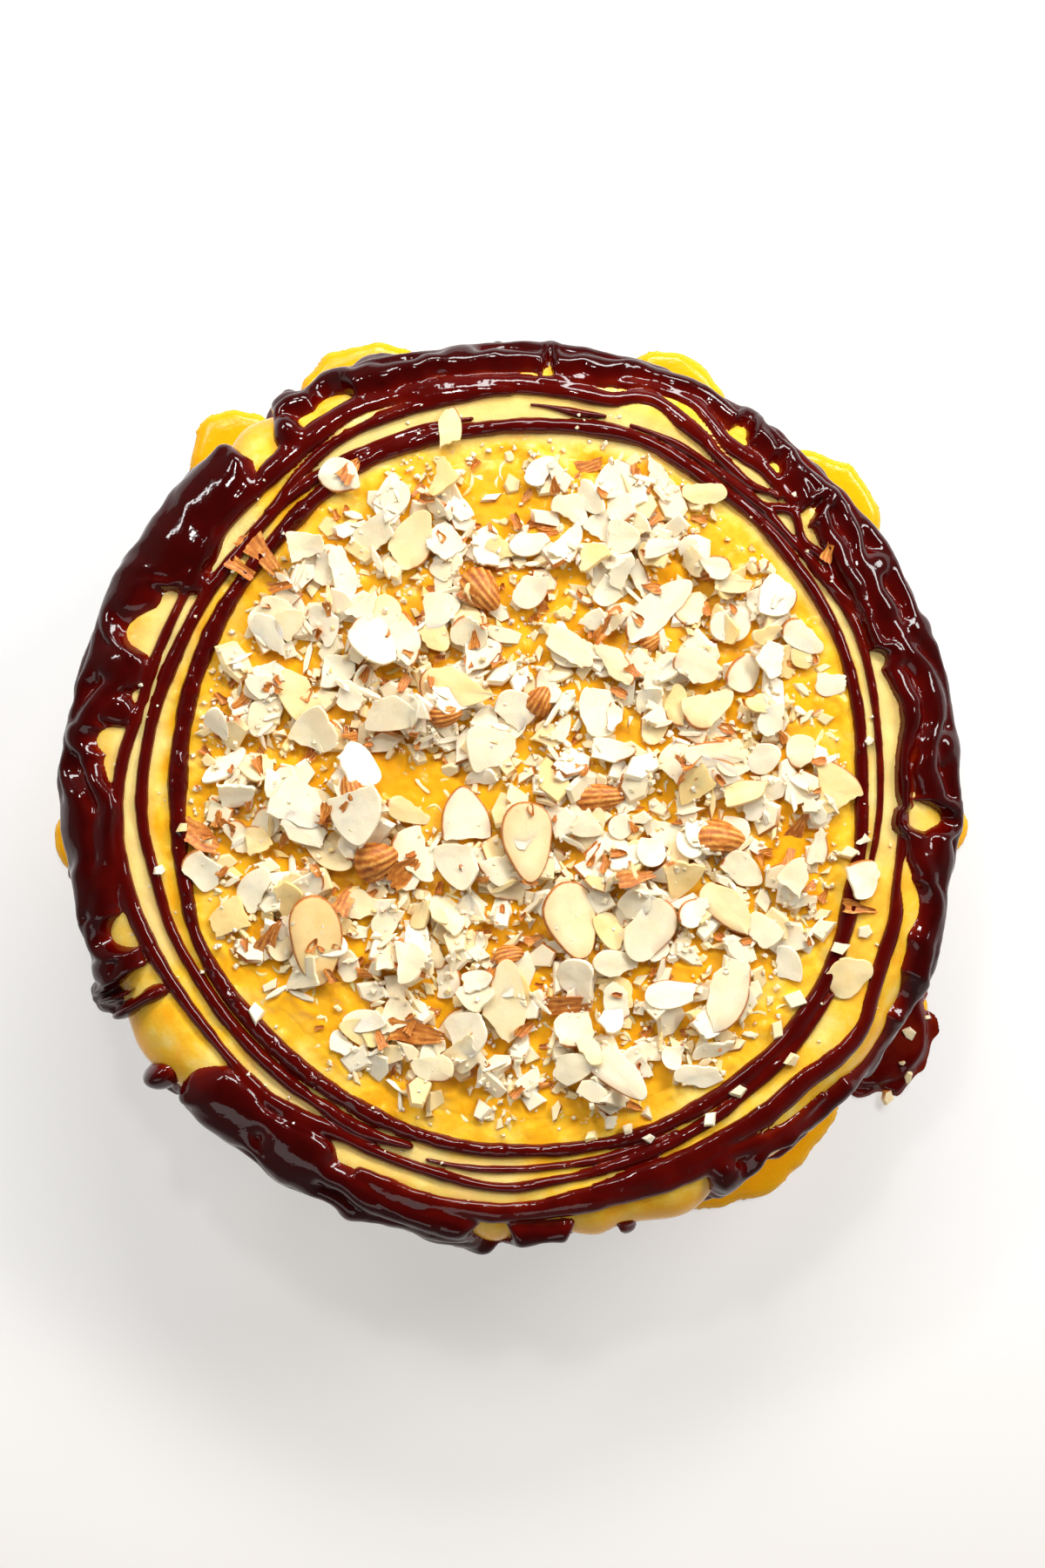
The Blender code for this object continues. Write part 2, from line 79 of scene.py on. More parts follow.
# Stations where the flat top, the rim, the side and the fillet at the foot end
FLAT = CAKE_RADIUS - CAKE_EDGE
SHOULDER = FLAT + 0.5 * math.pi * CAKE_EDGE
FOOT = SHOULDER + CAKE_TOP - CAKE_EDGE - FOOT_FILLET
GROUND = FOOT + 0.5 * math.pi * FOOT_FILLET
GROUND_START = CAKE_RADIUS + FOOT_FILLET

# Grid of each sheet: columns round the cake, and rows of stations. The rows are given by the start on the
# flat top and the step there, the number over the rim, the step down the side, the number over the fillet,
# and the reach over the ground and the step there. The custard has wide rows in its middle.
CUSTARD_TURNS = 660
CUSTARD_ROWS = (84.0, 0.7, 16, 0.9, 9, 26.0, 0.8)
CUSTARD_MIDDLE = 2.0
GANACHE_TURNS = 1000
GANACHE_START = 83.0
GANACHE_ROWS = (GANACHE_START, 0.4, 36, 0.6, 12, 21.0, 0.6)

# The custard: its thickness on top and on the side, and the height at which it ends between the tongues
CUSTARD_TOP = 5.8
CUSTARD_SIDE = 3.4
CUSTARD_END = 36.0
# Tongues that hang down the side: their count, least and most half width, least and most length
CUSTARD_TONGUES = (13, 8.0, 13.0, 4.0, 20.0)
# Runs down to the ground: centre, half width and the radius that they reach
RUNS = (
    (42.0, 9.0, 129.5),
    (68.0, 7.5, 130.0),
    (110.5, 9.0, 130.5),
    (129.5, 6.5, 132.5),
    (186.0, 6.0, 126.0),
    (305.0, 14.0, 130.5),
    (327.0, 8.0, 134.0),
    (356.0, 5.0, 126.0),
)

# Where the custard swells out over the rim: angle, half width, extra thickness
CUSTARD_BULGES = (
    (126.0, 4.5, 4.0), (215.0, 6.0, 3.4), (281.0, 3.5, 3.0), (291.5, 5.5, 5.0), (307.0, 4.0, 2.6),
    (267.5, 3.0, 2.4), (323.0, 5.0, 1.5),
)

# The ganache coat: its thickness, the height at which it ends, its drips, listed as the tongues are, and
# the fall that reaches the ground
COAT_THICK = 1.5
COAT_END = 45.5
COAT_DRIPS = (23, 4.0, 7.5, 3.0, 20.0)
FALL_ANGLE = 326.5
FALL_HALF = 9.5
FALL_REACH = 136.5

# Inner edge of the coat, as angle and radius
COAT_EDGE = (
    (3, 100.5), (12, 104.0), (20, 102.2), (30, 101.8), (37, 103.6), (41, 105.0), (46, 105.6),
    (51, 107.5), (55, 110.0), (60, 112.5), (66, 114.5), (72, 113.5), (78, 110.5), (92, 110.0),
    (105, 110.5), (114, 113.0), (124, 113.0), (131, 107.0), (138, 104.0), (145, 99.5),
    (153, 109.0), (162, 103.5), (171, 109.0),
    (181, 103.5), (190, 104.5), (198, 109.0), (203, 105.5), (209, 115.0), (221, 115.0), (227, 106.0),
    (236, 104.5), (248, 108.0), (262, 111.0), (275, 113.0), (291, 117.0), (303, 113.0), (316, 115.0),
    (331, 115.0), (338, 112.0), (346, 108.5), (353, 104.0),
)

# Openings in the coat that show custard: angle, radius, half length round the cake, half width.
# Those beyond a radius go over the rim and cut the strands, which pass round the others.
OVER_RIM = 115.4
ISLANDS = (
    (11.5, 101.4, 9.5, 2.4), (20.0, 102.7, 4.0, 1.5), (43.2, 105.6, 2.8, 2.6), (51.0, 108.8, 3.8, 1.6),
    (57.5, 111.4, 3.9, 3.2), (63.5, 109.2, 4.0, 2.4), (70.0, 104.2, 10.0, 4.2), (85.0, 110.8, 2.0, 3.0),
    (106.0, 107.2, 10.3, 1.4), (114.5, 112.4, 8.0, 2.8), (126.0, 116.9, 8.2, 8.5),
    (155.0, 105.6, 9.6, 4.2), (172.5, 104.9, 6.4, 3.4), (199.5, 108.1, 6.6, 2.8),
    (206.3, 113.3, 2.3, 4.4), (214.8, 115.8, 14.0, 10.0), (249.0, 103.9, 11.0, 1.6),
    (262.5, 105.6, 13.8, 2.2), (267.5, 115.6, 5.4, 4.0), (280.7, 117.0, 6.6, 8.2),
    (291.5, 117.0, 11.0, 7.8), (307.0, 116.8, 8.2, 3.4), (318.0, 111.5, 14.6, 1.2),
    (324.5, 115.2, 12.5, 2.8), (332.0, 111.3, 10.3, 3.7), (343.0, 107.2, 11.6, 3.0),
    (356.5, 109.0, 5.6, 3.6),
)

# Thick glossy blobs of the coat: angle, radius, half length, half width, extra height
BLOBS = (
    (135.0, 112.0, 13.0, 8.0, 2.4), (143.0, 109.0, 12.0, 9.0, 2.6), (150.5, 114.0, 12.0, 6.0, 2.2),
    (146.0, 101.5, 5.0, 5.5, 1.6), (162.0, 107.0, 6.0, 6.5, 2.0), (168.0, 105.0, 4.5, 5.0, 1.6),
    (184.0, 113.0, 12.0, 4.0, 2.0), (192.5, 112.5, 9.0, 5.0, 2.0), (209.4, 112.5, 2.2, 7.5, 1.6),
    (203.5, 115.5, 5.0, 4.5, 2.2), (219.0, 119.0, 4.0, 5.0, 2.6),
    (228.0, 111.0, 12.0, 7.0, 2.4), (239.0, 109.5, 11.0, 7.0, 2.4),
    (97.0, 114.5, 7.0, 3.5, 1.9), (121.8, 110.8, 4.0, 3.0, 1.6), (120.4, 118.0, 3.4, 4.0, 1.8),
    (314.5, 117.0, 7.0, 4.0, 2.2), (299.5, 115.0, 5.0, 4.0, 2.0), (32.0, 112.5, 5.0, 2.5, 2.0),
    (22.0, 114.0, 5.0, 3.5, 2.0), (352.0, 113.0, 7.0, 3.5, 2.0), (6.0, 114.0, 5.0, 3.0, 1.8),
)

# How far the coat stands out from the side: angle, half width, extra thickness
BULGES = (
    (136.0, 7.0, 2.2), (150.0, 4.0, 1.2), (207.0, 4.0, 4.0), (218.5, 2.5, 2.0), (200.0, 5.0, 1.6),
    (240.0, 5.0, 1.4), (249.0, 2.0, 3.6), (337.0, 5.0, 3.6), (262.0, 4.0, 2.4),
    (180.0, 5.0, 1.2), (107.0, 4.0, 4.4), (114.0, 2.6, 3.6), (119.5, 1.8, 2.6), (20.0, 6.0, 0.6),
)

# Drizzled strands as a line of angle, radius and width
RING_INNER = (
    (0, 91.9, 3.8), (12, 93.0, 3.6), (24, 94.8, 3.4), (36, 95.4, 3.6), (48, 96.4, 3.6), (60, 97.0, 4.2),
    (70, 98.6, 4.4), (82, 97.2, 4.4), (92, 96.0, 4.0), (104, 95.4, 4.6), (115, 94.8, 4.8),
    (126, 92.0, 5.0), (140, 89.8, 4.4), (152, 88.9, 5.2), (165, 88.0, 5.0), (180, 87.3, 5.2),
    (195, 88.6, 4.0), (205, 90.6, 3.6), (215, 90.4, 4.6), (232, 90.6, 5.0), (245, 91.4, 4.6),
    (258, 93.0, 4.2), (275, 93.8, 3.8), (290, 95.4, 4.0), (305, 95.9, 4.6), (320, 96.4, 4.8),
    (332, 95.4, 4.8), (344, 93.0, 4.4), (352, 92.4, 3.8),
)
RING_EAST = (
    (345, 95.8, 2.2), (352, 96.2, 2.0), (360, 96.5, 1.9), (370, 97.5, 2.2), (378, 99.0, 2.6),
    (386, 100.4, 3.0), (394, 99.6, 3.0), (402, 98.9, 2.6), (410, 99.6, 3.0), (418, 100.0, 2.6),
    (426, 101.2, 2.4), (432, 101.4, 1.8),
)
RING_WEST = (
    (96, 98.6, 2.2), (104, 98.3, 2.6), (112, 97.6, 2.8), (120, 97.6, 3.2), (126, 97.0, 3.4),
    (134, 95.8, 3.6), (145, 95.3, 3.8), (158, 95.2, 4.0), (170, 96.0, 3.2), (182, 96.9, 3.4),
    (192, 95.9, 3.2), (204, 95.7, 3.2), (214, 95.0, 3.8), (228, 95.4, 3.8), (238, 95.6, 3.8),
    (246, 96.6, 4.4), (254, 96.0, 3.6),
)
RING_OUTER = (
    (48, 104.4, 3.0), (52, 102.3, 3.4), (57, 103.0, 3.2), (61, 104.9, 3.0), (65, 107.2, 3.0),
    (69, 109.6, 2.6), (72, 109.2, 2.6), (76, 105.9, 3.0), (82, 106.1, 3.0), (92, 107.3, 3.2),
    (100, 107.8, 3.4), (110, 109.2, 3.4), (116, 107.8, 3.8), (124, 105.0, 4.6), (131, 103.5, 4.4),
    (138, 102.6, 4.0), (144, 101.0, 3.5), (150, 99.9, 2.8), (160, 99.6, 2.8), (168, 100.0, 3.0),
    (176, 102.4, 3.5), (185, 103.9, 4.2), (195, 103.7, 4.6), (205, 102.4, 4.4), (213, 101.2, 3.4),
    (222, 101.0, 3.2), (230, 102.2, 4.2), (236, 101.4, 5.6), (243, 100.0, 4.0), (250, 100.3, 3.4),
    (260, 101.5, 3.0), (270, 103.2, 2.8), (278, 101.8, 3.0), (290, 100.8, 3.4), (300, 100.2, 3.6),
    (308, 99.6, 3.4), (318, 99.6, 3.0), (328, 99.2, 2.6),
)
RING_NORTH = (
    (90, 104.8, 3.0), (97, 104.6, 3.6), (105, 103.9, 3.4), (112, 103.4, 3.0), (118, 102.4, 3.2),
    (124, 100.2, 3.2), (131, 97.8, 2.8),
)
RING_RIM = (
    (248, 107.0, 4.2), (255, 109.4, 3.8), (262, 109.8, 3.4), (272, 109.4, 3.6), (281, 107.8, 4.0),
    (290, 108.6, 3.8), (300, 110.2, 3.8), (307, 112.8, 3.4), (316, 114.2, 2.6),
)
RING_SOUTH = (
    (282, 105.0, 3.0), (290, 104.8, 4.0), (300, 105.4, 3.8), (308, 107.0, 3.8), (315, 107.6, 3.8),
    (321, 109.8, 3.4), (326, 110.6, 2.8), (331, 108.4, 2.4), (336, 106.6, 2.6), (342, 105.2, 2.8),
    (348, 103.4, 2.6), (356, 103.0, 3.0), (362, 103.4, 3.0),
)
RING_LOOP = (
    (46, 106.3, 2.8), (52, 107.8, 2.8), (58, 107.6, 2.6), (62, 111.0, 2.6), (65, 113.6, 3.0),
    (70, 113.6, 2.8), (75, 111.2, 2.6), (80, 110.2, 2.6), (86, 108.9, 2.4),
)
RING_NORTH_EAST = (
    (26, 102.4, 2.6), (33, 100.9, 2.8), (37, 102.2, 2.6), (41, 101.0, 2.6), (45, 104.0, 2.8),
    (49, 99.8, 2.8), (56, 99.4, 2.2),
)
RING_THIN = ((76, 101.8, 2.0), (80, 101.2, 2.6), (87, 101.8, 1.6))
RING_STRAY = ((257, 98.3, 1.8), (266, 98.6, 2.0), (276, 98.2, 2.2), (286, 98.4, 2.4), (296, 98.6, 2.0))
STRANDS = (
    RING_INNER, RING_EAST, RING_WEST, RING_OUTER, RING_NORTH, RING_RIM, RING_SOUTH, RING_LOOP,
    RING_NORTH_EAST, RING_THIN, RING_STRAY,
)
# Least height of a strand, and how much it grows with the width
STRAND_RISE = (0.6, 0.38)

# Strands that have merged into the coat: how far out each lies from the coat's inner edge; the width,
# height and wander of each; the station of that edge in its mean place; the gap that closes between two
COAT_STRANDS = (2.0, 5.6, 9.2, 12.8, 16.4)
COAT_STRAND = (4.1, 3.2, 2.4)
COAT_EDGE_MEAN = 104.5
COAT_MERGE = 0.3
# Station from which the coat is closed all round
SKIRT_START = 113.5
# Direction in which the coat is lumpiest
LIVELY_ANGLE = 40.0
# Dip and ridge that run all along the coat: station, half width, depth or height
COAT_DIP = (115.2, 2.4, 0.7)
COAT_RIDGE = (111.5, 3.5, 1.5)

# Share of a sheet's faces that is left once its unseen back is thinned out
BACK_SHARE = 0.56
BED_BACK_SHARE = 0.52

# The bed of custard and coconut under the almonds
BED_RADIUS = 90.0
BED_CROWN = 1.0
BED_CLEARANCE = 3.4
BED_STEP = 0.75

# Bare places in the almonds: x, y, radius
BARE = (
    (-20.0, 0.0, 9.0), (-4.0, 80.0, 9.0), (-50.0, -62.0, 9.0), (-64.0, -52.0, 8.0), (-14.0, -80.0, 8.0),
    (10.0, -86.0, 8.0), (60.0, 40.0, 5.0), (57.0, 64.0, 6.0), (80.0, 16.0, 5.0), (77.0, -46.0, 6.0),
    (38.0, -80.0, 7.0), (-30.0, 4.0, 7.0), (-72.0, 50.0, 6.0), (64.0, 72.0, 8.0), (-44.0, -56.0, 7.0),
    (84.0, 24.0, 6.0), (-66.0, 36.0, 5.0), (20.0, 86.0, 6.0), (-40.0, 78.0, 6.0),
)

# Almond slices that show, from the lowest to the topmost: x, y, length, width, turn of the pointed end,
# direction of the brown rim, direction of a broken edge. None stands for no chosen rim and for no break.
ALL_ROUND = 999
SLICES = (
    (-55.4, 64.5, 13.5, 10.0, 195, None, 200), (-35.7, 68.7, 13.0, 12.5, 240, -30, 130),
    (-44.0, 58.0, 14.0, 12.5, 100, 180, 30), (-16.0, 66.3, 12.5, 10.0, 20, None, 45),
    (-25.5, 66.3, 17.0, 11.0, 60, -45, None), (-38.6, 47.9, 13.0, 9.0, 75, None, 260),
    (-28.0, 38.9, 12.0, 9.0, -70, -70, None), (-35.7, 39.5, 15.5, 10.0, -50, 120, None),
    (-20.7, 41.9, 12.0, 8.0, -45, None, 135), (-20.0, 47.9, 14.0, 9.5, 20, None, 200),
    (-10.0, 42.5, 12.0, 9.5, 40, None, 60), (-60.7, 49.0, 10.0, 8.5, 20, None, 90),
    (-62.5, 41.3, 13.5, 7.0, -50, None, None), (-56.8, 44.2, 9.5, 8.5, 20, None, 0),
    (-54.7, 26.4, 16.0, 12.5, -85, None, None), (-64.9, 28.7, 12.0, 7.5, -60, None, 120),
    (-38.0, 28.2, 11.0, 7.0, 90, None, -90), (-45.8, 32.9, 14.5, 9.5, 10, 0, 180),
    (-40.4, 7.3, 15.0, 10.0, -35, None, None), (-33.9, 21.6, 20.0, 11.0, -15, None, 180),
    (-50.6, 16.2, 18.5, 12.0, 210, 230, 40), (-13.0, 27.0, 22.0, 13.5, -10, 200, 60),
    (1.3, 21.6, 11.5, 11.0, 0, None, None), (-5.2, 13.2, 18.0, 13.5, 250, None, 80),
    (-72.6, 0.1, 13.0, 8.0, 0, None, 200), (-55.3, -9.0, 22.0, 7.5, -25, None, 155),
    (-57.1, -2.8, 18.5, 14.0, -30, None, 150), (-40.4, -4.6, 17.5, 13.5, -80, None, None),
    (-7.0, 4.3, 10.0, 4.5, 10, None, None), (-75.0, 7.3, 14.0, 6.0, 220, 130, None),
    (-75.6, 18.0, 10.0, 7.0, -45, None, 30), (-70.8, 23.4, 9.0, 6.5, 10, -90, 100),
    (20.3, 77.3, 12.0, 6.0, -50, None, None), (15.5, 74.3, 11.0, 8.0, -45, None, None),
    (28.7, 74.3, 12.5, 7.5, 30, None, 200), (28.7, 66.8, 9.8, 9.5, 0, None, None),
    (46.3, 65.3, 8.5, 5.0, 85, None, 90), (38.2, 64.1, 12.0, 5.0, 12, None, None),
    (20.3, 61.8, 11.5, 7.5, 10, None, 190), (33.5, 55.8, 12.0, 5.0, -70, None, None),
    (29.0, 58.1, 9.5, 8.5, 60, None, -20), (25.7, 54.0, 10.5, 8.5, 30, None, 45),
    (47.8, 48.1, 10.0, 9.5, 60, None, -20), (57.9, 55.9, 11.5, 6.0, 60, None, None),
    (57.2, 45.6, 12.0, 10.5, 90, None, 90), (38.8, 47.4, 23.0, 11.0, 47, 225, None),
    (67.5, 51.6, 14.5, 11.0, 190, -10, 180), (76.4, 40.9, 12.5, 7.5, -35, None, None),
    (66.8, 41.5, 8.5, 6.5, 20, None, None), (68.0, 34.9, 11.5, 10.0, 0, None, 0),
    (12.0, 34.3, 11.5, 10.5, 0, None, 60), (13.8, 39.0, 18.5, 8.0, 145, None, None),
    (32.8, 33.7, 12.5, 8.0, -30, None, 150), (26.9, 33.7, 14.5, 7.5, -45, None, None),
    (22.8, 23.0, 17.0, 10.5, 95, None, 90), (48.4, 33.1, 12.5, 9.5, -20, 215, None),
    (60.9, 31.9, 11.5, 8.0, 60, 150, None), (51.3, 23.6, 14.5, 12.0, 30, None, 120),
    (26.9, 20.6, 9.0, 4.5, 80, 170, None), (12.6, 16.4, 10.0, 4.5, 60, None, None),
    (38.8, 24.2, 24.0, 7.5, 78, 165, None), (69.2, 19.4, 10.5, 8.0, 40, None, 0),
    (84.1, 29.0, 10.0, 7.0, 0, None, 90), (66.0, 9.3, 9.5, 8.0, 20, None, None),
    (76.6, 11.0, 9.5, 9.0, 0, None, None), (54.3, 10.5, 19.5, 6.5, 5, 90, None),
    (59.7, 0.3, 17.0, 6.5, 12, None, 190), (51.3, 5.7, 19.5, 8.5, -5, 30, 180),
    (24.5, 11.0, 16.0, 7.0, 0, -10, 180), (4.8, 54.0, 11.5, 10.0, 40, None, 150),
    (4.8, 65.9, 11.0, 8.0, 0, None, 90), (7.8, 84.4, 10.0, 6.5, 40, None, None),
    (38.2, 83.8, 11.5, 5.0, -55, None, None), (-26.2, -4.6, 14.0, 6.5, -20, 110, None),
    (-24.4, -15.9, 15.5, 12.0, -60, 180, 20), (-13.7, -16.4, 17.5, 13.0, -80, None, 100),
    (-11.9, -7.0, 18.0, 13.0, 100, ALL_ROUND, -80), (4.3, -12.5, 21.5, 13.0, 275, ALL_ROUND, None),
    (-79.8, -19.4, 12.5, 11.0, 30, None, 60), (-72.6, -32.6, 19.0, 10.0, 210, None, 30),
    (-66.7, -25.0, 13.0, 9.0, 60, None, -20), (-66.7, -12.9, 10.5, 8.0, -30, None, 200),
    (-59.5, -27.1, 10.5, 9.5, 10, None, 190), (-36.9, -30.1, 13.5, 9.5, -15, None, -70),
    (-50.8, -38.5, 24.0, 13.5, 275, ALL_ROUND, None), (-19.6, -30.8, 9.0, 4.0, -50, None, None),
    (-23.7, -31.4, 13.0, 4.5, 75, None, None), (-27.4, -43.9, 14.5, 12.0, -20, None, 200),
    (-20.7, -41.5, 10.0, 8.0, -60, -60, 150), (-30.3, -51.6, 11.5, 9.0, 20, None, 200),
    (-37.5, -59.4, 12.5, 6.0, 5, None, None), (-44.0, -65.3, 7.5, 7.0, 0, None, 30),
    (-12.4, -62.9, 14.5, 12.0, 40, None, 240), (-20.2, -70.7, 12.0, 9.5, -30, -70, 120),
    (-1.7, -54.5, 23.0, 11.0, 85, None, None), (-9.4, -49.2, 10.0, 6.0, 20, None, 200),
    (18.5, -49.2, 14.5, 12.0, 0, -90, 0), (28.0, -53.4, 12.5, 9.5, 60, -100, 60),
    (28.0, -44.5, 13.5, 7.0, -5, None, None), (15.9, -33.2, 21.0, 13.5, 285, ALL_ROUND, None),
    (35.8, -35.6, 18.0, 13.0, 240, 0, None), (17.3, -61.1, 13.5, 9.5, 20, 230, 20),
    (26.9, -71.3, 22.0, 10.0, -45, None, 135), (15.5, -71.8, 15.0, 8.0, 20, None, 180),
    (20.3, -67.1, 9.5, 6.0, -50, None, None), (49.6, -73.6, 15.0, 7.0, 5, None, None),
    (42.4, -52.2, 15.5, 7.5, 5, 100, None), (55.5, -52.8, 21.0, 13.0, 55, -30, None),
    (66.8, -34.9, 11.5, 10.0, 30, None, 60), (56.7, -30.1, 18.0, 9.0, -45, None, None),
    (43.6, -21.9, 15.0, 9.0, 30, None, 200), (48.3, -30.8, 10.5, 7.0, 30, 150, -20),
    (60.3, -20.0, 12.0, 8.5, -30, None, None), (74.6, -23.0, 14.0, 11.0, 65, None, 240),
    (80.0, -14.1, 10.5, 6.0, 80, 0, None), (71.6, -45.1, 11.5, 9.0, -45, 200, None),
    (43.5, -10.5, 17.0, 9.5, 165, 120, -10), (36.5, -14.0, 10.5, 7.5, 85, None, 90),
    (30.5, -17.0, 10.5, 7.0, 30, None, None), (19.2, -7.5, 10.5, 8.0, -20, None, 160),
    (29.3, -8.1, 8.5, 6.0, 40, None, None), (22.1, -15.3, 9.0, 4.0, 70, None, None),
    (53.1, -66.6, 12.0, 5.0, 20, None, None), (43.6, -67.7, 9.5, 7.5, 60, None, 0),
    (84.1, 0.9, 18.5, 13.5, -25, 60, 190),
)
# Slices that lie on the ganache strands, listed in the same way
STRAY_SLICES = (
    (-16.4, 94.8, 13.5, 7.0, 80, None, None), (-44.0, 83.0, 12.5, 9.0, -10, None, None),
    (50.4, 78.2, 12.0, 9.5, 5, None, 100), (92.2, -22.1, 12.0, 10.0, 30, 110, None),
    (88.5, -47.4, 13.0, 11.5, 20, 190, None),
)
# Half almonds in their ridged skin: x, y, length, width, turn
CAPS = (
    (-7.8, 53.1, 13.0, 9.5, -50), (52.6, 59.3, 9.5, 6.0, 25), (7.3, 24.2, 8.5, 7.0, 60),
    (23.3, -1.0, 14.0, 7.5, 5), (54.8, -11.6, 13.5, 8.5, -10), (-35.1, -17.5, 12.0, 10.0, 20),
    (-0.5, -42.2, 8.0, 5.0, 10), (-41.5, 1.5, 8.0, 6.0, 100), (36.5, 40.0, 6.0, 5.0, 30),
    (-17.0, 20.5, 9.0, 5.5, 15),
)
# Loose flakes of brown skin: x, y, length, width, turn
FLAKES = (
    (-24.9, -62.4, 15.0, 6.5, -10), (-80.9, -11.6, 10.0, 7.0, -30), (-65.4, 63.0, 12.0, 7.0, -50),
    (-70.5, 58.5, 7.5, 3.5, -35), (-43.4, -27.8, 8.0, 5.5, 60), (-63.2, -37.8, 9.5, 5.0, 60),
    (32.3, -21.8, 9.0, 4.5, 10), (90.7, -29.6, 8.5, 3.5, -10), (15.0, -55.2, 12.0, 5.5, 0),
    (20.0, 85.5, 7.5, 4.0, 15), (24.0, 43.0, 7.0, 3.0, 60), (-42.0, 84.5, 7.0, 5.0, 50),
    (-28.0, -20.0, 9.0, 6.0, 40), (47.0, 8.5, 6.0, 4.0, 30), (75.5, -8.0, 9.0, 4.0, 60),
    (-60.0, 54.0, 6.0, 3.0, 10), (83.0, 63.0, 4.5, 3.0, 70),
)
# Chips that lie on the strands and on the bare custard: x, y, length, turn
STRAY_CHIPS = (
    (59.0, -77.9, 5.4, 20), (51.7, -85.0, 5.6, 60), (35.8, -90.3, 3.6, 0), (21.2, -89.8, 4.2, 30),
    (91.9, -11.6, 4.6, 20), (88.3, -15.3, 5.4, 0), (92.5, -36.1, 5.4, 50), (86.0, -40.3, 5.6, 10),
    (73.1, -70.1, 5.0, 30), (69.8, -61.8, 6.4, 70), (74.0, -54.0, 6.8, 10), (81.8, -35.6, 8.0, 20),
    (35.8, -83.9, 5.6, 70), (25.5, -86.0, 5.2, 20), (30.5, -87.5, 4.0, 50), (93.5, 14.0, 3.0, 40),
    (-92.0, -20.0, 4.0, 10), (-86.0, -9.0, 3.2, 60), (-66.7, -57.6, 6.5, 120), (-63.0, -50.0, 5.0, 30),
    (6.0, -80.3, 8.0, 0), (-7.6, -82.7, 7.0, 80), (26.9, -80.0, 7.5, 0), (-20.7, -80.3, 8.0, 60),
    (101.0, 37.0, 2.6, 20), (88.0, 60.0, 2.4, 0), (74.0, 78.0, 2.6, 50), (-104.0, 38.0, 2.2, 0),
)

# Chips stuck to the outer end of the fall: angle, radius, length
FALL_CHIPS = (
    (321.0, 133.0, 5.2), (324.5, 134.0, 4.4), (329.0, 127.5, 4.8), (325.5, 130.5, 2.2), (331.5, 129.5, 2.4),
)

# Loose pieces scattered by rule: count, least and most length
CHIPS = (1250, 2.2, 7.0)
PLATES = (360, 6.0, 13.0)
UNDER_SLICES = (120, 9.0, 14.0)
SLIVERS = (220, 4.0, 10.0)
CRUMBS = (1500, 0.5, 2.2)
TOP_CRUMBS = (260, 0.5, 1.4)
SHREDS = (520, 3.0, 6.5)
# Scraps of skin below the slices, and as many again above them
SCRAPS = (130, 1.6, 5.0)
COAT_CRUMBS = 90
SLICE_THICK = 1.15
CHIP_THICK = 1.15
PLATE_THICK = 1.3
SLIVER_THICK = 1.1
STRAY_THICK = 1.6
# How often a rim that is left to chance is brown
RIM_CHANCE = 0.4
# Steepest slope of a piece in the heap, and how far one end of a long slice may lie above the other
STEEPEST = 0.6
SLICE_LIFT = 8.0
# Angle from which an edge is sharp, on a slice, on a chip and on the rounder pieces
SLICE_CREASE = 32
CHIP_CREASE = 30
ROUND_CREASE = 60

# Colours of the custard, then of the almonds' flesh and skin
GOLDEN = (0.95, 0.54, 0.035)
DEEP_GOLD = (0.91, 0.41, 0.012)
PALE_GOLD = (0.96, 0.68, 0.17)
# Deeper orange of the custard under the almonds: partly its own tone, partly painted warm shade between the
# pieces
ORANGE = (0.90, 0.40, 0.010)
LEMON = (0.90, 0.42, 0.004)
# Paler, greyer custard colour at the rim: a painted sheen
PAINTED_SHEEN = (0.84, 0.68, 0.30)
CREAM = (0.96, 0.81, 0.58)
TAN = (0.91, 0.63, 0.25)
SKIN = (0.35, 0.082, 0.006)
SKIN_LIGHT = (0.60, 0.23, 0.035)

# Camera: its height and its sensor; the photograph's size and the cake's centre in pixels; the size of a
# pixel, and the level at which it has that size
CAMERA_HEIGHT = 1200.0
SENSOR = 36.0
IMAGE = (1200.0, 1800.0)
CAKE_PIXEL = (587.0, 911.0)
PIXEL = 0.228
PIXEL_LEVEL = 60.0

FLOOR_HALF = 2000.0
FLOOR_LEVEL = -0.2

# Lights: name, direction, elevation, length and width in metres, brightness of the surface; and how many
# metres away they all are
LIGHT_DISTANCE = 1.4
LIGHTS = (
    ("window_north", 82.0, 38.0, (0.75, 0.24), 27.5),
    ("window_north_east", 34.0, 38.0, (0.66, 0.27), 24.5),
    ("window_north_west", 136.0, 42.0, (0.45, 0.10), 31.0),
    ("lamp_high", 104.0, 60.0, (0.12, 0.12), 68.0),
    ("wall_south", 245.0, 42.0, (1.2, 0.45), 1.6),
)


def smooth_between(points, angle):
    """Value at an angle of a smooth curve through (angle, value) points that closes on itself."""
    count = len(points)
    angle = (angle - points[0][0]) % 360.0 + points[0][0]
    index = max(i for i in range(count) if points[i][0] <= angle)

    def knot(i):
        turns, place = divmod(i, count)
        return points[place][0] + 360.0 * turns, points[place][1]

    before, start, end, after = (knot(index + k) for k in (-1, 0, 1, 2))
    span = end[0] - start[0]
    slope_start = (end[1] - before[1]) / (end[0] - before[0]) * span
    slope_end = (after[1] - start[1]) / (after[0] - start[0]) * span
    t = (angle - start[0]) / span
    return (
        start[1] * (1 + 2 * t) * (1 - t) ** 2
        + slope_start * t * (1 - t) ** 2
        + end[1] * t * t * (3 - 2 * t)
        + slope_end * t * t * (t - 1)
    )


def turn_apart(angle, other):
    return (angle - other + 180.0) % 360.0 - 180.0


def polar(angle, radius):
    """X and y at an angle and a radius."""
    return radius * math.cos(math.radians(angle)), radius * math.sin(math.radians(angle))


def hump(value, middle, half):
    """Smooth hump, 1 at the middle and near 0 beyond two half widths."""
    return np.exp(-(((value - middle) / half) ** 2))


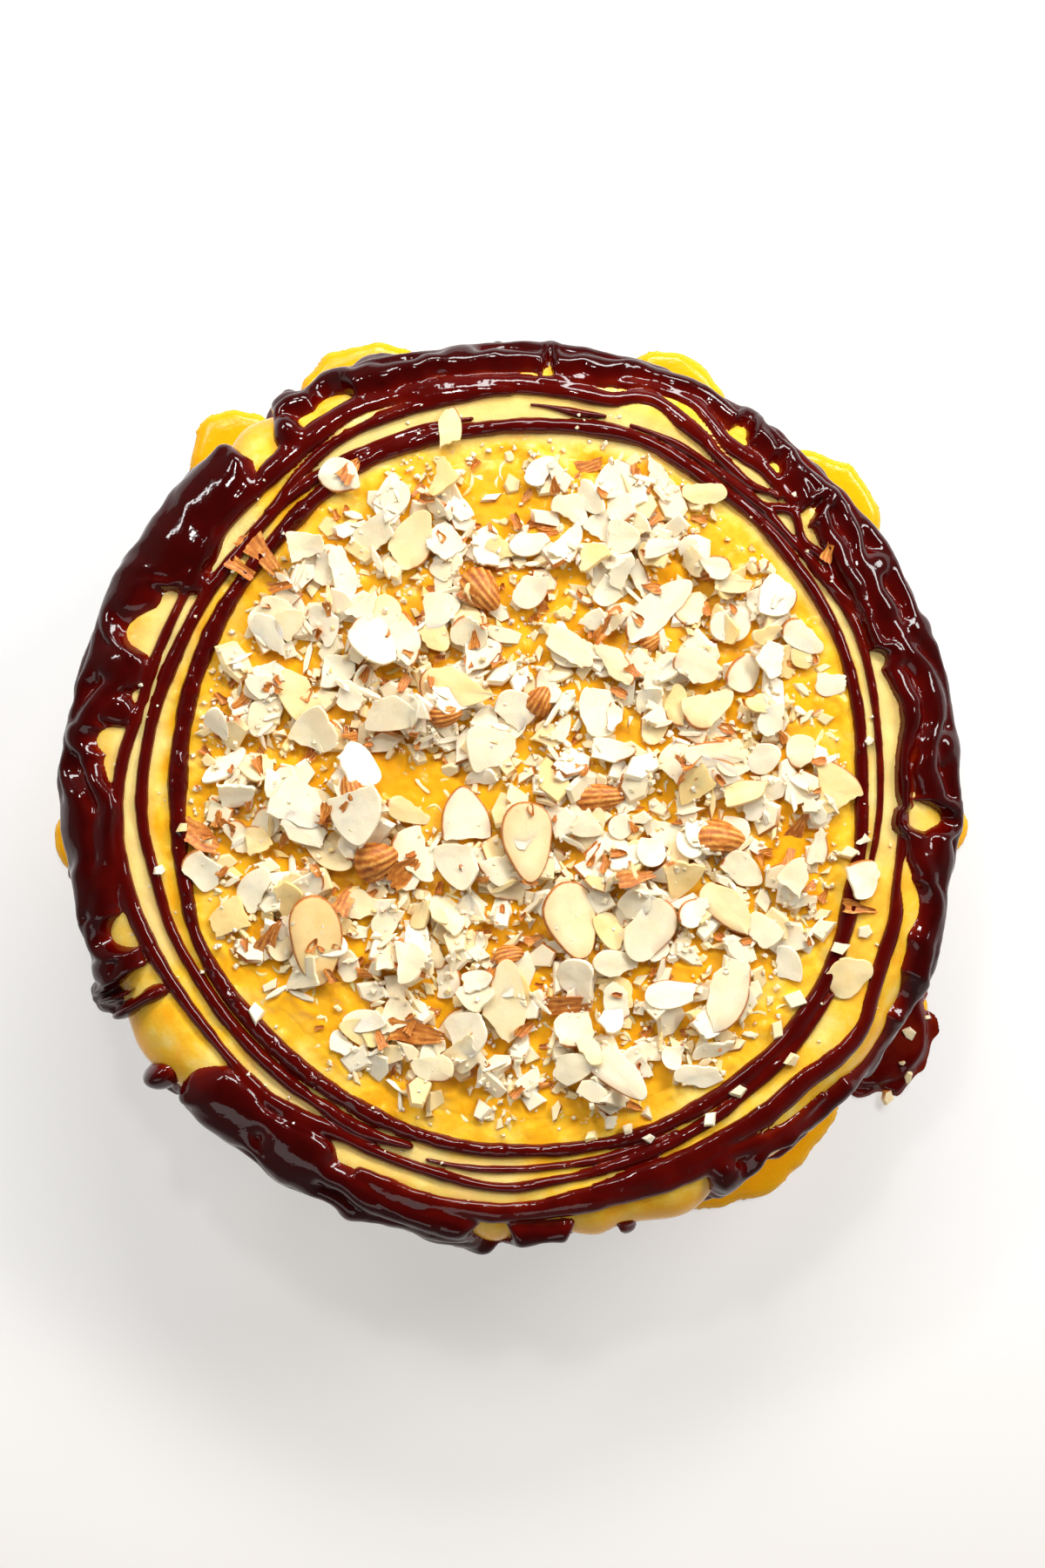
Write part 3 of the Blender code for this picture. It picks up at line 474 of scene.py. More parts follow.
def tongues(seed, kinds):
    """Hanging tongues spread round the side: centre, half width and length of each.

    Kinds holds their count, the least and most half width, and the least and most length.
    """
    count, narrow, wide, short, long = kinds
    draw = random.Random(seed)
    made = []
    for k in range(count):
        centre = 360.0 * (k + draw.uniform(-0.3, 0.3)) / count
        made.append((centre, draw.uniform(narrow, wide), draw.uniform(short, long)))
    return made


def unit_directions(count=256):
    """Directions spread evenly over a sphere, for the noise."""
    index = np.arange(count) + 0.5
    height = 1.0 - 2.0 * index / count
    turn = index * math.pi * (3.0 - math.sqrt(5.0))
    flat = np.sqrt(1.0 - height**2)
    return np.stack([flat * np.cos(turn), flat * np.sin(turn), height], -1)


DIRECTIONS = unit_directions()
SHUFFLE = np.random.default_rng(SEED).permutation(len(DIRECTIONS))


def bumps(points, size, seed):
    """Smooth noise from about -1 to 1 at points in mm, with features of a size in mm."""
    grid = np.asarray(points, float) / size + 31.7 * seed
    cell = np.floor(grid).astype(np.int64)
    part = grid - cell
    ease = part**3 * (part * (part * 6.0 - 15.0) + 10.0)
    total = np.zeros(grid.shape[:-1])
    last = len(SHUFFLE) - 1
    for corner in np.ndindex(2, 2, 2):
        shift = np.array(corner)
        x, y, z = np.moveaxis((cell + shift) & last, -1, 0)
        pick = SHUFFLE[(SHUFFLE[(SHUFFLE[x] + y) & last] + z) & last]
        slope = ((part - shift) * DIRECTIONS[pick]).sum(-1)
        weight = np.where(shift == 1, ease, 1.0 - ease).prod(-1)
        total += slope * weight
    return 1.6 * total


def station_of(radius, lift=5.0):
    """Station of a point seen from above at a radius, with this much laid over the cake."""
    if radius <= FLAT:
        return radius
    reach = min(1.0, (radius - FLAT) / (CAKE_EDGE + lift))
    return FLAT + CAKE_EDGE * math.asin(reach)


def station_down(height):
    """Station on the side at a height above the ground."""
    return SHOULDER + (CAKE_TOP - CAKE_EDGE - height)


def outside(angles, stations, lift):
    """Points at a lift off the cake's outside."""
    turn = np.clip((stations - FLAT) / CAKE_EDGE, 0.0, 0.5 * math.pi)
    low = np.clip((stations - FOOT) / FOOT_FILLET, 0.0, 0.5 * math.pi)
    radius = np.minimum(stations, FLAT) + CAKE_EDGE * np.sin(turn)
    radius = radius + FOOT_FILLET * (1.0 - np.cos(low)) + np.maximum(stations - GROUND, 0.0)
    height = CAKE_TOP - CAKE_EDGE * (1.0 - np.cos(turn))
    height = height - np.clip(stations - SHOULDER, 0.0, FOOT - SHOULDER) - FOOT_FILLET * np.sin(low)
    lean = turn - low
    radius = radius + lift * np.sin(lean)
    height = height + lift * np.cos(lean)
    around = np.radians(angles)
    return np.stack([radius * np.cos(around), radius * np.sin(around), height + 0.0 * around], -1)


class Sheet:
    """A grid of angle and station, with helpers that lay thickness on it."""

    def __init__(self, turns, stations):
        self.angles = (np.arange(turns) * 360.0 / turns)[:, None]
        self.stations = np.asarray(stations, float)[None, :]
        self.shape = (turns, len(stations))
        self.base = outside(self.angles, self.stations, 0.0)
        self.around = np.maximum(np.hypot(self.base[:1, :, 0], self.base[:1, :, 1]), 1.0)

    def away(self, angle):
        """Distance round the cake of each grid point from an angle."""
        return np.radians(turn_apart(self.angles, angle)) * self.around

    def follow(self, function):
        """A value for each angle, spread over the stations."""
        return np.array([[function(angle)] for angle in self.angles[:, 0]])

    def noise(self, size, seed, stretch=1.0):
        """Noise over features of a size, drawn out round the cake by a stretch."""
        if stretch == 1.0:
            return bumps(self.base, size, seed)
        turn = np.radians(self.angles) + 0.0 * self.stations
        circle = CAKE_RADIUS / stretch
        flat = np.stack([circle * np.cos(turn), circle * np.sin(turn), self.stations + 0.0 * turn], -1)
        return bumps(flat, size, seed)

    def at(self, values, angles, radii):
        """Values of a grid at angles and radii on the flat top."""
        column = np.round(np.asarray(angles) / 360.0 * self.shape[0]).astype(int) % self.shape[0]
        row = np.clip(np.searchsorted(self.stations[0], radii), 0, self.shape[1] - 1)
        return values[column, row]


def rise(distance, width):
    """Round shoulder, from 0 at an edge to 1 at a width inside it."""
    share = np.clip(distance / width, 0.0, 1.0)
    return np.sqrt(1.0 - (1.0 - share) ** 2)


def blend_max(a, b, soft):
    """The larger of two values, rounded where they meet."""
    share = np.clip(0.5 + 0.5 * (a - b) / soft, 0.0, 1.0)
    return b + (a - b) * share + soft * share * (1.0 - share)


def blend_min(a, b, soft):
    return -blend_max(-a, -b, soft)


def new_object(name, points, faces, material, attributes=None, crease=None):
    mesh = bpy.data.meshes.new(name)
    mesh.from_pydata((np.asarray(points) * MM).tolist(), [], faces)
    mesh.update()
    mesh.materials.append(material)
    mesh.shade_smooth()
    if crease is not None:
        mesh.set_sharp_from_angle(angle=math.radians(crease))
    for key, values in (attributes or {}).items():
        mesh.attributes.new(key, "FLOAT", "POINT").data.foreach_set("value", values)
    made = bpy.data.objects.new(name, mesh)
    bpy.context.scene.collection.objects.link(made)
    return made


def carried(made, slot, *nodes):
    """Fixes a piece to the cake and hides the solids that it stands for."""
    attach(made, "root")
    if nodes:
        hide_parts(*nodes)
    return made


def slab_faces(corners, shape):
    """Which grid places a slab uses, and the faces of its top, its back and the walls between.

    Corners holds the four grid places of every cell. The points of the back follow those of the top.
    """
    used = np.zeros(shape, bool)
    for a, b in corners:
        used[a, b] = True
    count = int(used.sum())
    index = -np.ones(shape, int)
    index[used] = np.arange(count)
    upper = np.stack([index[a, b] for a, b in corners], -1)
    lower = upper[:, ::-1] + count
    edges = np.concatenate([upper[:, [k, (k + 1) % 4]] for k in range(4)])
    key = edges[:, 0] * count + edges[:, 1]
    twin = edges[:, 1] * count + edges[:, 0]
    border = edges[~np.isin(key, twin)]
    walls = np.stack([border[:, 1], border[:, 0], border[:, 0] + count, border[:, 1] + count], -1)
    return used, np.concatenate([upper, lower, walls]).tolist()


def closed_sheet(name, sheet, base, thick, inside, under, material):
    """Solid between a base and a thickness on it, kept where inside is positive.

    Grid points just outside are moved onto the edge, and the back is sunk below the base.
    """
    turns = sheet.shape[0]
    corner = inside > 0.0
    cell = corner | np.roll(corner, -1, 0)
    cell = cell[:, :-1] | cell[:, 1:]
    along = np.gradient(inside, sheet.stations[0], axis=1)
    step = sheet.around * math.radians(360.0 / turns)
    across = (np.roll(inside, -1, 0) - np.roll(inside, 1, 0)) / (2.0 * step)
    steep = np.maximum(along**2 + across**2, 0.25)
    pull = np.where(corner, 0.0, -inside / steep)
    gaps = np.gradient(sheet.stations[0])[None, :]
    move_along = np.clip(pull * along, -0.9 * gaps, 0.9 * gaps)
    move_across = np.clip(pull * across, -0.9 * step, 0.9 * step)
    angles = sheet.angles + np.degrees(move_across / sheet.around)
    stations = sheet.stations + move_along
    top = outside(angles, stations, base + np.where(corner, thick, -0.15))
    back = outside(angles, stations, base - under)
    top[..., 2] = np.maximum(top[..., 2], 0.0)
    back[..., 2] = np.maximum(back[..., 2], 0.0)
    first, second = np.nonzero(cell)
    following = (first + 1) % turns
    corners = ((first, second), (first, second + 1), (following, second + 1), (following, second))
    used, faces = slab_faces(corners, sheet.shape)
    depth = np.tile(np.where(corner, thick, 0.0)[used], 2)
    points = np.concatenate([top[used], back[used]])
    return new_object(name, points, faces, material, {"depth": depth})


def fill_axis(made, radius):
    """Caps the small hole at the axis of a sheet, above and below, in place of its walls."""
    work = bmesh.new()
    work.from_mesh(made.data)
    near = [face for face in work.faces if all(v.co.xy.length < 1.5 * radius * MM for v in face.verts)]
    walls = [face for face in near if abs(face.normal.z) < 0.5]
    bmesh.ops.delete(work, geom=walls, context="FACES")
    rims = [edge for edge in work.edges if edge.is_boundary]
    bmesh.ops.holes_fill(work, edges=rims, sides=0)
    bmesh.ops.recalc_face_normals(work, faces=work.faces)
    work.to_mesh(made.data)
    work.free()


def thin_back(made, share):
    """Simplifies the unseen back, which is the second half of a sheet's points, to a share of all faces."""
    count = len(made.data.vertices)
    back = made.vertex_groups.new(name="back")
    back.add(list(range(count // 2, count)), 1.0, "REPLACE")
    modifier = made.modifiers.new("thin_back", "DECIMATE")
    modifier.ratio = share
    modifier.vertex_group = back.name
    view = bpy.context.evaluated_depsgraph_get()
    plain = bpy.data.meshes.new_from_object(made.evaluated_get(view))
    made.modifiers.remove(modifier)
    made.vertex_groups.remove(back)
    made.data = plain
    for point in plain.vertices:
        point.co.z = max(point.co.z, 0.0)


def graph_node(tree, kind, inputs=None, **settings):
    made = tree.nodes.new(kind)
    for key, value in settings.items():
        setattr(made, key, value)
    for key, value in (inputs or {}).items():
        if isinstance(value, bpy.types.NodeSocket):
            tree.links.new(value, made.inputs[key])
        else:
            made.inputs[key].default_value = value
    return made


def place_value(tree):
    """Place on the cake, in metres."""
    return graph_node(tree, "ShaderNodeTexCoord").outputs["Object"]


def attribute_value(tree, name):
    return graph_node(tree, "ShaderNodeAttribute", attribute_name=name).outputs["Fac"]


def noise_value(tree, scale, detail=3.0, rough=0.5):
    """Noise with features of 1 / scale metres."""
    inputs = {"Vector": place_value(tree), "Scale": scale, "Detail": detail, "Roughness": rough}
    return graph_node(tree, "ShaderNodeTexNoise", inputs).outputs["Fac"]


def ramp(tree, value, *stops):
    """Colour ramp through (position, colour) stops."""
    made = graph_node(tree, "ShaderNodeValToRGB", {"Fac": value})
    band = made.color_ramp
    while len(band.elements) < len(stops):
        band.elements.new(0.5)
    for element, (position, colour) in zip(band.elements, stops):
        element.position = position
        element.color = (*colour, 1.0)
    return made.outputs["Color"]


def grey(value):
    return (value, value, value)


def mixed(tree, share, first, second):
    made = graph_node(tree, "ShaderNodeMix", data_type="RGBA")
    for slot, value in ((0, share), (6, first), (7, second)):
        if isinstance(value, bpy.types.NodeSocket):
            tree.links.new(value, made.inputs[slot])
        else:
            made.inputs[slot].default_value = (*value, 1.0) if slot else value
    return made.outputs[2]


def calculated(tree, operation, first, second):
    made = graph_node(tree, "ShaderNodeMath", {0: first, 1: second}, operation=operation)
    return made.outputs[0]


def finish(name, **settings):
    """Principled material with its own settings; returns the material, its tree and its shader."""
    made = bpy.data.materials.new(name)
    made.use_nodes = True
    shader = made.node_tree.nodes["Principled BSDF"]
    for key, value in settings.items():
        shader.inputs[key.replace("_", " ")].default_value = value
    return made, made.node_tree, shader


def bumped(tree, shader, height, distance, strength):
    inputs = {"Height": height, "Distance": distance, "Strength": strength}
    made = graph_node(tree, "ShaderNodeBump", inputs)
    tree.links.new(made.outputs["Normal"], shader.inputs["Normal"])


def radius_value(tree):
    """Distance from the cake's axis, in metres."""
    place = place_value(tree)
    flat = graph_node(tree, "ShaderNodeVectorMath", {0: place, 1: (1.0, 1.0, 0.0)}, operation="MULTIPLY")
    length = graph_node(tree, "ShaderNodeVectorMath", {0: flat.outputs[0]}, operation="LENGTH")
    return length.outputs["Value"]


def turn_value(tree):
    """Direction from the cake's axis, from 0 to 1 for a whole turn."""
    place = place_value(tree)
    apart = graph_node(tree, "ShaderNodeSeparateXYZ", {0: place}).outputs
    turn = calculated(tree, "ARCTAN2", apart["Y"], apart["X"])
    turns = calculated(tree, "MULTIPLY", turn, 0.5 / math.pi)
    return calculated(tree, "FRACT", turns, 0.0)


def custard_material():
    """Glossy and golden, with a painted sheen that leaves it paler and greyer at the rim, and a deeper
    orange under the almonds that is partly painted warm shade.
    """
    made, tree, shader = finish(
        "custard",
        Roughness=0.16,
        IOR=1.36,
        Subsurface_Weight=0.25,
        Subsurface_Radius=(1.0, 0.55, 0.15),
        Subsurface_Scale=0.004,
    )
    blotch = noise_value(tree, 90.0, 4.0, 0.6)
    gold = ramp(tree, blotch, (0.36, DEEP_GOLD), (0.5, GOLDEN), (0.68, PALE_GOLD))
    cloudy = noise_value(tree, 45.0, 2.0)
    # Parts of the turn round the cake where the rim keeps its golden colour, without the painted sheen
    golden = ramp(
        tree, turn_value(tree),
        (0.335, grey(0.0)), (0.345, grey(1.0)), (0.362, grey(1.0)), (0.372, grey(0.0)),
        (0.565, grey(0.0)), (0.578, grey(1.0)), (0.618, grey(1.0)), (0.635, grey(0.0)),
        (0.745, grey(0.0)), (0.765, grey(1.0)), (0.965, grey(0.85)), (0.985, grey(0.0)),
    )
    # Painted sheen: a paler, greyer custard colour laid in a ring at the rim, kept off the golden turns
    reach = calculated(tree, "ADD", radius_value(tree), calculated(tree, "MULTIPLY", cloudy, 0.012))
    sheen_share = ramp(
        tree, reach, (0.0985, grey(0.0)), (0.1025, grey(0.8)), (0.1110, grey(0.5)), (0.1150, grey(0.0))
    )
    sheen_share = mixed(tree, golden, sheen_share, grey(0.0))
    # Under the almonds the custard turns a darker orange: partly its own tone, partly painted warm shade
    # between the pieces
    under_nuts = ramp(tree, radius_value(tree), (0.078, grey(0.85)), (0.090, grey(0.0)))
    gold = mixed(tree, under_nuts, gold, ORANGE)
    colour = mixed(tree, sheen_share, gold, PAINTED_SHEEN)
    lemon = ramp(tree, radius_value(tree), (0.1135, grey(0.0)), (0.1175, grey(1.0)))
    colour = mixed(tree, lemon, colour, LEMON)
    tree.links.new(colour, shader.inputs["Base Color"])
    fine = noise_value(tree, 900.0, 3.0, 0.6)
    bumped(tree, shader, fine, 0.00025, 0.5)
    return made


def ganache_material():
    """Dark and glossy, and redder where the depth attribute says that it is thin."""
    made, tree, shader = finish("ganache", Roughness=0.08, IOR=1.38)
    depth = attribute_value(tree, "depth")
    cloudy = calculated(tree, "MULTIPLY", noise_value(tree, 150.0, 3.0), 3.0)
    share = calculated(tree, "MULTIPLY", calculated(tree, "ADD", depth, cloudy), 0.14)
    thin, middle, deep = (0.17, 0.010, 0.0008), (0.082, 0.0012, 0.0002), (0.033, 0.0003, 0.0001)
    colour = ramp(tree, share, (0.2, thin), (0.42, middle), (0.75, deep))
    tree.links.new(colour, shader.inputs["Base Color"])
    bumped(tree, shader, noise_value(tree, 360.0, 2.0), 0.00035, 0.32)
    return made


def almond_material():
    """Cream flesh with tan patches, and brown skin where the skin attribute says."""
    made, tree, shader = finish(
        "almond",
        Roughness=0.42,
        Subsurface_Weight=0.35,
        Subsurface_Radius=(1.0, 0.7, 0.35),
        Subsurface_Scale=0.0025,
    )
    tint = attribute_value(tree, "tint")
    skin = attribute_value(tree, "skin")
    patch = calculated(tree, "MULTIPLY", noise_value(tree, 160.0, 3.0), 0.5)
    share = calculated(tree, "MULTIPLY", calculated(tree, "ADD", tint, patch), 0.72)
    flesh = ramp(tree, share, (0.25, CREAM), (0.8, TAN))
    speck = ramp(tree, noise_value(tree, 700.0, 2.0, 0.7), (0.70, grey(0.0)), (0.76, grey(0.5)))
    flesh = mixed(tree, speck, flesh, SKIN_LIGHT)
    grain = noise_value(tree, 500.0, 4.0, 0.7)
    brown = ramp(tree, grain, (0.35, SKIN), (0.7, SKIN_LIGHT))
    tree.links.new(mixed(tree, skin, flesh, brown), shader.inputs["Base Color"])
    bumped(tree, shader, noise_value(tree, 650.0, 4.0, 0.65), 0.00025, 0.5)
    return made


def skin_material():
    """Brown almond skin, with paler streaks along the ridges that the tint attribute gives."""
    made, tree, shader = finish("almond_skin", Roughness=0.55)
    tint = attribute_value(tree, "tint")
    grain = noise_value(tree, 420.0, 4.0, 0.7)
    streak = calculated(tree, "MULTIPLY", tint, 0.35)
    share = calculated(tree, "ADD", streak, calculated(tree, "MULTIPLY", grain, 0.65))
    dark, middle, pale = (0.28, 0.058, 0.004), (0.56, 0.165, 0.012), (0.86, 0.43, 0.09)
    brown = ramp(tree, share, (0.28, dark), (0.5, middle), (0.74, pale))
    tree.links.new(brown, shader.inputs["Base Color"])
    bumped(tree, shader, grain, 0.0004, 0.7)
    return made


def shred_material():
    made, tree, shader = finish(
        "coconut",
        Roughness=0.3,
        Subsurface_Weight=0.3,
        Subsurface_Radius=(1.0, 0.7, 0.3),
        Subsurface_Scale=0.002,
    )
    colour = ramp(tree, noise_value(tree, 200.0), (0.35, (0.95, 0.68, 0.20)), (0.65, (0.97, 0.84, 0.50)))
    tree.links.new(colour, shader.inputs["Base Color"])
    return made


def side_material():
    """Chocolate cheesecake: matt, soft and finely pitted."""
    made, tree, shader = finish("cheesecake_side", Roughness=0.62)
    patch = noise_value(tree, 70.0, 5.0, 0.6)
    dark, middle, pale = (0.105, 0.042, 0.022), (0.155, 0.066, 0.034), (0.21, 0.10, 0.055)
    colour = ramp(tree, patch, (0.3, dark), (0.55, middle), (0.8, pale))
    tree.links.new(colour, shader.inputs["Base Color"])
    pores = graph_node(tree, "ShaderNodeTexVoronoi", {"Scale": 620.0}).outputs["Distance"]
    bumped(tree, shader, pores, 0.0005, 0.5)
    return made


def crust_material():
    """Dark biscuit crumbs pressed together, with paler and darker grains."""
    made, tree, shader = finish("crumb_crust", Roughness=0.8)
    place = place_value(tree)
    grains = graph_node(tree, "ShaderNodeTexVoronoi", {"Vector": place, "Scale": 650.0})
    shade = graph_node(tree, "ShaderNodeSeparateColor", {0: grains.outputs["Color"]}).outputs[0]
    dark, middle, pale = (0.020, 0.009, 0.005), (0.060, 0.028, 0.015), (0.13, 0.066, 0.036)
    colour = ramp(tree, shade, (0.0, dark), (0.6, middle), (1.0, pale))
    tree.links.new(colour, shader.inputs["Base Color"])
    bumped(tree, shader, grains.outputs["Distance"], 0.0012, 0.8)
    return made


def oval_distance(sheet, angle, station, half_round, half_along):
    """Distance inside an oval on the sheet."""
    oval = np.hypot(sheet.away(angle) / half_round, (sheet.stations - station) / half_along)
    return (1.0 - oval) * min(half_round, half_along)


def spot_distance(sheet, angle, radius, half_long, half_wide):
    """Distance inside an oval spot on the coat, at a radius as seen from above."""
    return oval_distance(sheet, angle, station_of(radius), half_long, half_wide)


def pool_distance(sheet, angle, middle, half_wide, reach):
    """Distance inside a pool that spreads over the ground from a station in its middle to a radius."""
    return oval_distance(sheet, angle, middle, half_wide, GROUND + reach - GROUND_START - middle)


def with_tongues(sheet, inside, seed, kinds, edge, share, soft):
    """Adds tongues with round ends that hang from an edge at a height, each a share of its own width."""
    for centre, half, length in tongues(seed, kinds):
        width = math.radians(share * half) * CAKE_RADIUS
        end = station_down(edge - length) - width
        past = np.maximum(sheet.stations - end, 0.0)
        inside = blend_max(inside, width - np.hypot(sheet.away(centre), past), soft)
    return inside


def bulged(sheet, body, bulges, where):
    """Thickens a body by bulges of angle, half width and extra, with a strength for each station."""
    for angle, half, extra in bulges:
        body = body + extra * where * hump(turn_apart(sheet.angles, angle), 0.0, half)
    return body


def custard_inside(sheet):
    """Distance inside the custard's edge of each grid point."""
    stations = sheet.stations
    inside = station_down(CUSTARD_END) - stations + np.zeros(sheet.shape)
    inside = with_tongues(sheet, inside, SEED, CUSTARD_TONGUES, CUSTARD_END, 0.75, 5.0)
    for centre, half, reach in RUNS:
        width = math.radians(0.8 * half) * CAKE_RADIUS
        inside = blend_max(inside, np.minimum(width - abs(sheet.away(centre)), GROUND - stations), 4.0)
        wide = math.radians(half) * CAKE_RADIUS * 1.2
        inside = blend_max(inside, pool_distance(sheet, centre, GROUND - 3.0, wide, reach), 2.0)
    return inside + 1.3 * sheet.noise(11.0, 3) + 0.7 * sheet.noise(5.0, 4)


def custard_body(points):
    """Unevenness of the custard on the flat top, at points of the cake's top."""
    near = np.clip((98.0 - np.hypot(points[..., 0], points[..., 1])) / 8.0, 0.15, 1.0)
    swell = 0.55 * bumps(points, 24.0, 1) + 0.4 * bumps(points, 8.0, 2)
    lumps = np.maximum(0.0, bumps(points, 3.6, 5) - 0.05) ** 1.2
    return swell + near * (1.1 * lumps + 0.2 * bumps(points, 1.7, 6))


def custard_thickness(sheet, inside):
    stations = sheet.stations
    bend = np.clip((stations - FLAT) / (SHOULDER - FLAT), 0.0, 1.0)
    body = CUSTARD_TOP + (CUSTARD_SIDE - CUSTARD_TOP) * bend + custard_body(sheet.base)
    ground = np.clip((stations - FOOT) / (GROUND - FOOT), 0.0, 1.0)
    end_bulge = 0.9 * hump(inside, 5.0, 4.0) * bend * (1.0 - ground)
    body = bulged(sheet, body, CUSTARD_BULGES, hump(stations, SHOULDER, 7.0))
    return (body + end_bulge) * rise(inside, 4.0) * (1.0 - 0.2 * ground)


def stations_of(start, top_step, rim_rows, side_step, fillet_rows, reach, ground_step):
    """Stations of a sheet from its start on the flat top out over the ground."""
    return np.concatenate(
        [
            np.arange(start, FLAT, top_step),
            np.linspace(FLAT, SHOULDER, rim_rows, endpoint=False),
            np.arange(SHOULDER, FOOT, side_step),
            np.linspace(FOOT, GROUND, fillet_rows, endpoint=False),
            np.arange(GROUND, GROUND + reach, ground_step),
        ]
    )


def make_custard(material):
    middle = np.arange(CUSTARD_MIDDLE, CUSTARD_ROWS[0], CUSTARD_MIDDLE)
    sheet = Sheet(CUSTARD_TURNS, np.concatenate([middle, stations_of(*CUSTARD_ROWS)]))
    inside = custard_inside(sheet)
    thick = custard_thickness(sheet, inside)
    made = closed_sheet("custard", sheet, np.zeros(sheet.shape), thick, inside, 0.4, material)
    fill_axis(made, CUSTARD_MIDDLE)
    thin_back(made, BACK_SHARE)
    return carried(made, "custard", "custard_topping")


def ring_noise(sheet, size, seed):
    """Noise round the cake that closes on itself; the size is a share of the radius."""
    turn = np.radians(sheet.angles)
    circle = np.concatenate([np.cos(turn), np.sin(turn), 0.0 * turn], 1)
    return bumps(circle, size, seed)[:, None]


def off_line(sheet, line, steepest=math.inf):
    """Distance of each grid point from a line that wanders round the cake."""
    step = 2.0 * math.radians(360.0 / sheet.shape[0]) * FLAT
    slope = (np.roll(line, -1, 0) - np.roll(line, 1, 0)) / step
    return abs(sheet.stations - line) / np.sqrt(1.0 + np.minimum(slope**2, steepest))


def half_round(apart, wide):
    """Height of a round strand at a distance from its middle, as a share of its full height."""
    return np.sqrt(np.maximum(0.0, 1.0 - (apart / wide) ** 2))


def strand_field(sheet, points, seed):
    """Distance inside a strand's edge and the strand's height."""
    line_points = [(angle, radius) for angle, radius, _ in points]
    width_points = [(angle, width) for angle, _, width in points]
    closed = points[0][0] == 0 and points[-1][0] > 330.0
    line = sheet.follow(lambda angle: station_of(smooth_between(line_points, angle)))
    width = sheet.follow(lambda angle: smooth_between(width_points, angle))
    line = line + 0.3 * ring_noise(sheet, 0.16, seed)
    size = ring_noise(sheet, 0.11, seed + 20)
    beads = ring_noise(sheet, 0.045, seed + 40)
    apart = off_line(sheet, line)
    wide = 0.5 * width * (1.0 + 0.16 * size + 0.10 * beads)
    if not closed:
        middle = 0.5 * (points[0][0] + points[-1][0])
        reach = 0.5 * (points[-1][0] - points[0][0])
        off_middle = abs(turn_apart(sheet.angles, middle))
        apart = np.hypot(apart, np.radians(np.maximum(off_middle - reach, 0.0)) * FLAT)
        taper = np.clip((reach - off_middle) / 7.0, 0.0, 1.0)
        wide = wide * (0.55 + 0.45 * taper)
    least, growth = STRAND_RISE
    tall = (least + growth * width) * (1.0 + 0.2 * size) * half_round(apart, wide)
    return wide - apart, tall


def round_islands(sheet, line, half):
    """Bends a strand's line so that it passes round the openings in the coat."""
    for angle, radius, half_long, half_wide in ISLANDS:
        if radius > OVER_RIM:
            continue
        middle = station_of(radius)
        along = np.radians(turn_apart(sheet.angles, angle)) * radius / half_long
        share = np.clip(1.0 - along**2, 0.0, 1.0)
        clear = share * half_wide + np.sqrt(share) * half
        nearest = round(angle / 360.0 * len(line)) % len(line)
        side = -1.0 if line[nearest, 0] < middle else 1.0
        push = np.maximum(clear - side * (line - middle), 0.0) * np.clip(3.0 * share, 0.0, 1.0)
        line = line + side * push
    return line


def coat_strands(sheet):
    """Distance inside the strands that make up the coat, and their height."""
    width, height, wander = COAT_STRAND
    edge = sheet.follow(lambda angle: station_of(smooth_between(COAT_EDGE, angle)))
    last = len(COAT_STRANDS) - 1
    inside = np.full(sheet.shape, -50.0)
    tall = np.zeros(sheet.shape)
    for k, out in enumerate(COAT_STRANDS):
        share = 0.85 * k / last
        line = edge * (1.0 - share) + COAT_EDGE_MEAN * share + out
        line = line + wander * ring_noise(sheet, 0.20, 50 + k) * (0.4 + share)
        line = line + 0.6 * ring_noise(sheet, 0.06, 60 + k)
        wide = 0.5 * width * (1.0 + 0.35 * ring_noise(sheet, 0.09, 70 + k))
        line = round_islands(sheet, line, 0.5 * width)
        apart = off_line(sheet, line, 1.5)
        strength = 1.0 + 0.3 * ring_noise(sheet, 0.12, 80 + k)
        ridge = height * strength * half_round(apart, wide)
        tall = np.maximum(tall, ridge) + 0.12 * np.minimum(tall, ridge)
        inside = np.maximum(inside, wide - apart)
    return inside, tall


def coat_inside(sheet, strands):
    """Distance inside the coat's edge, with its drips, its fall and its openings."""
    stations = sheet.stations
    skirt = stations - SKIRT_START + 1.0 * sheet.noise(6.0, 11)
    for angle, radius, half_long, half_wide in ISLANDS:
        hole = spot_distance(sheet, angle, radius, half_long, half_wide) + 0.8 * sheet.noise(5.0, 15)
        skirt = blend_min(skirt, -hole, 1.2)
        if radius > OVER_RIM:
            strands = blend_min(strands, -hole, 1.2)
    inside = blend_max(strands + COAT_MERGE, skirt, 1.2)
    outer = station_down(COAT_END) - stations + 2.2 * sheet.noise(9.0, 12)
    outer = with_tongues(sheet, outer, SEED + 1, COAT_DRIPS, COAT_END, 0.5, 4.0)
    fall_width = math.radians(0.62 * FALL_HALF) * CAKE_RADIUS
    run = np.minimum(fall_width - abs(sheet.away(FALL_ANGLE)), GROUND + 4.0 - stations)
    outer = blend_max(outer, run, 4.0)
    pool_width = math.radians(FALL_HALF) * CAKE_RADIUS
    pool = pool_distance(sheet, FALL_ANGLE, GROUND, pool_width, FALL_REACH)
    outer = blend_max(outer, pool + 3.0 * sheet.noise(6.5, 13), 2.0)
    inside = blend_min(inside, outer, 1.5)
    for angle, radius, half_long, half_wide, _ in BLOBS:
        blob = spot_distance(sheet, angle, radius, half_long, half_wide) + 1.1 * sheet.noise(6.0, 16)
        inside = blend_max(inside, blob, 1.5)
    return inside


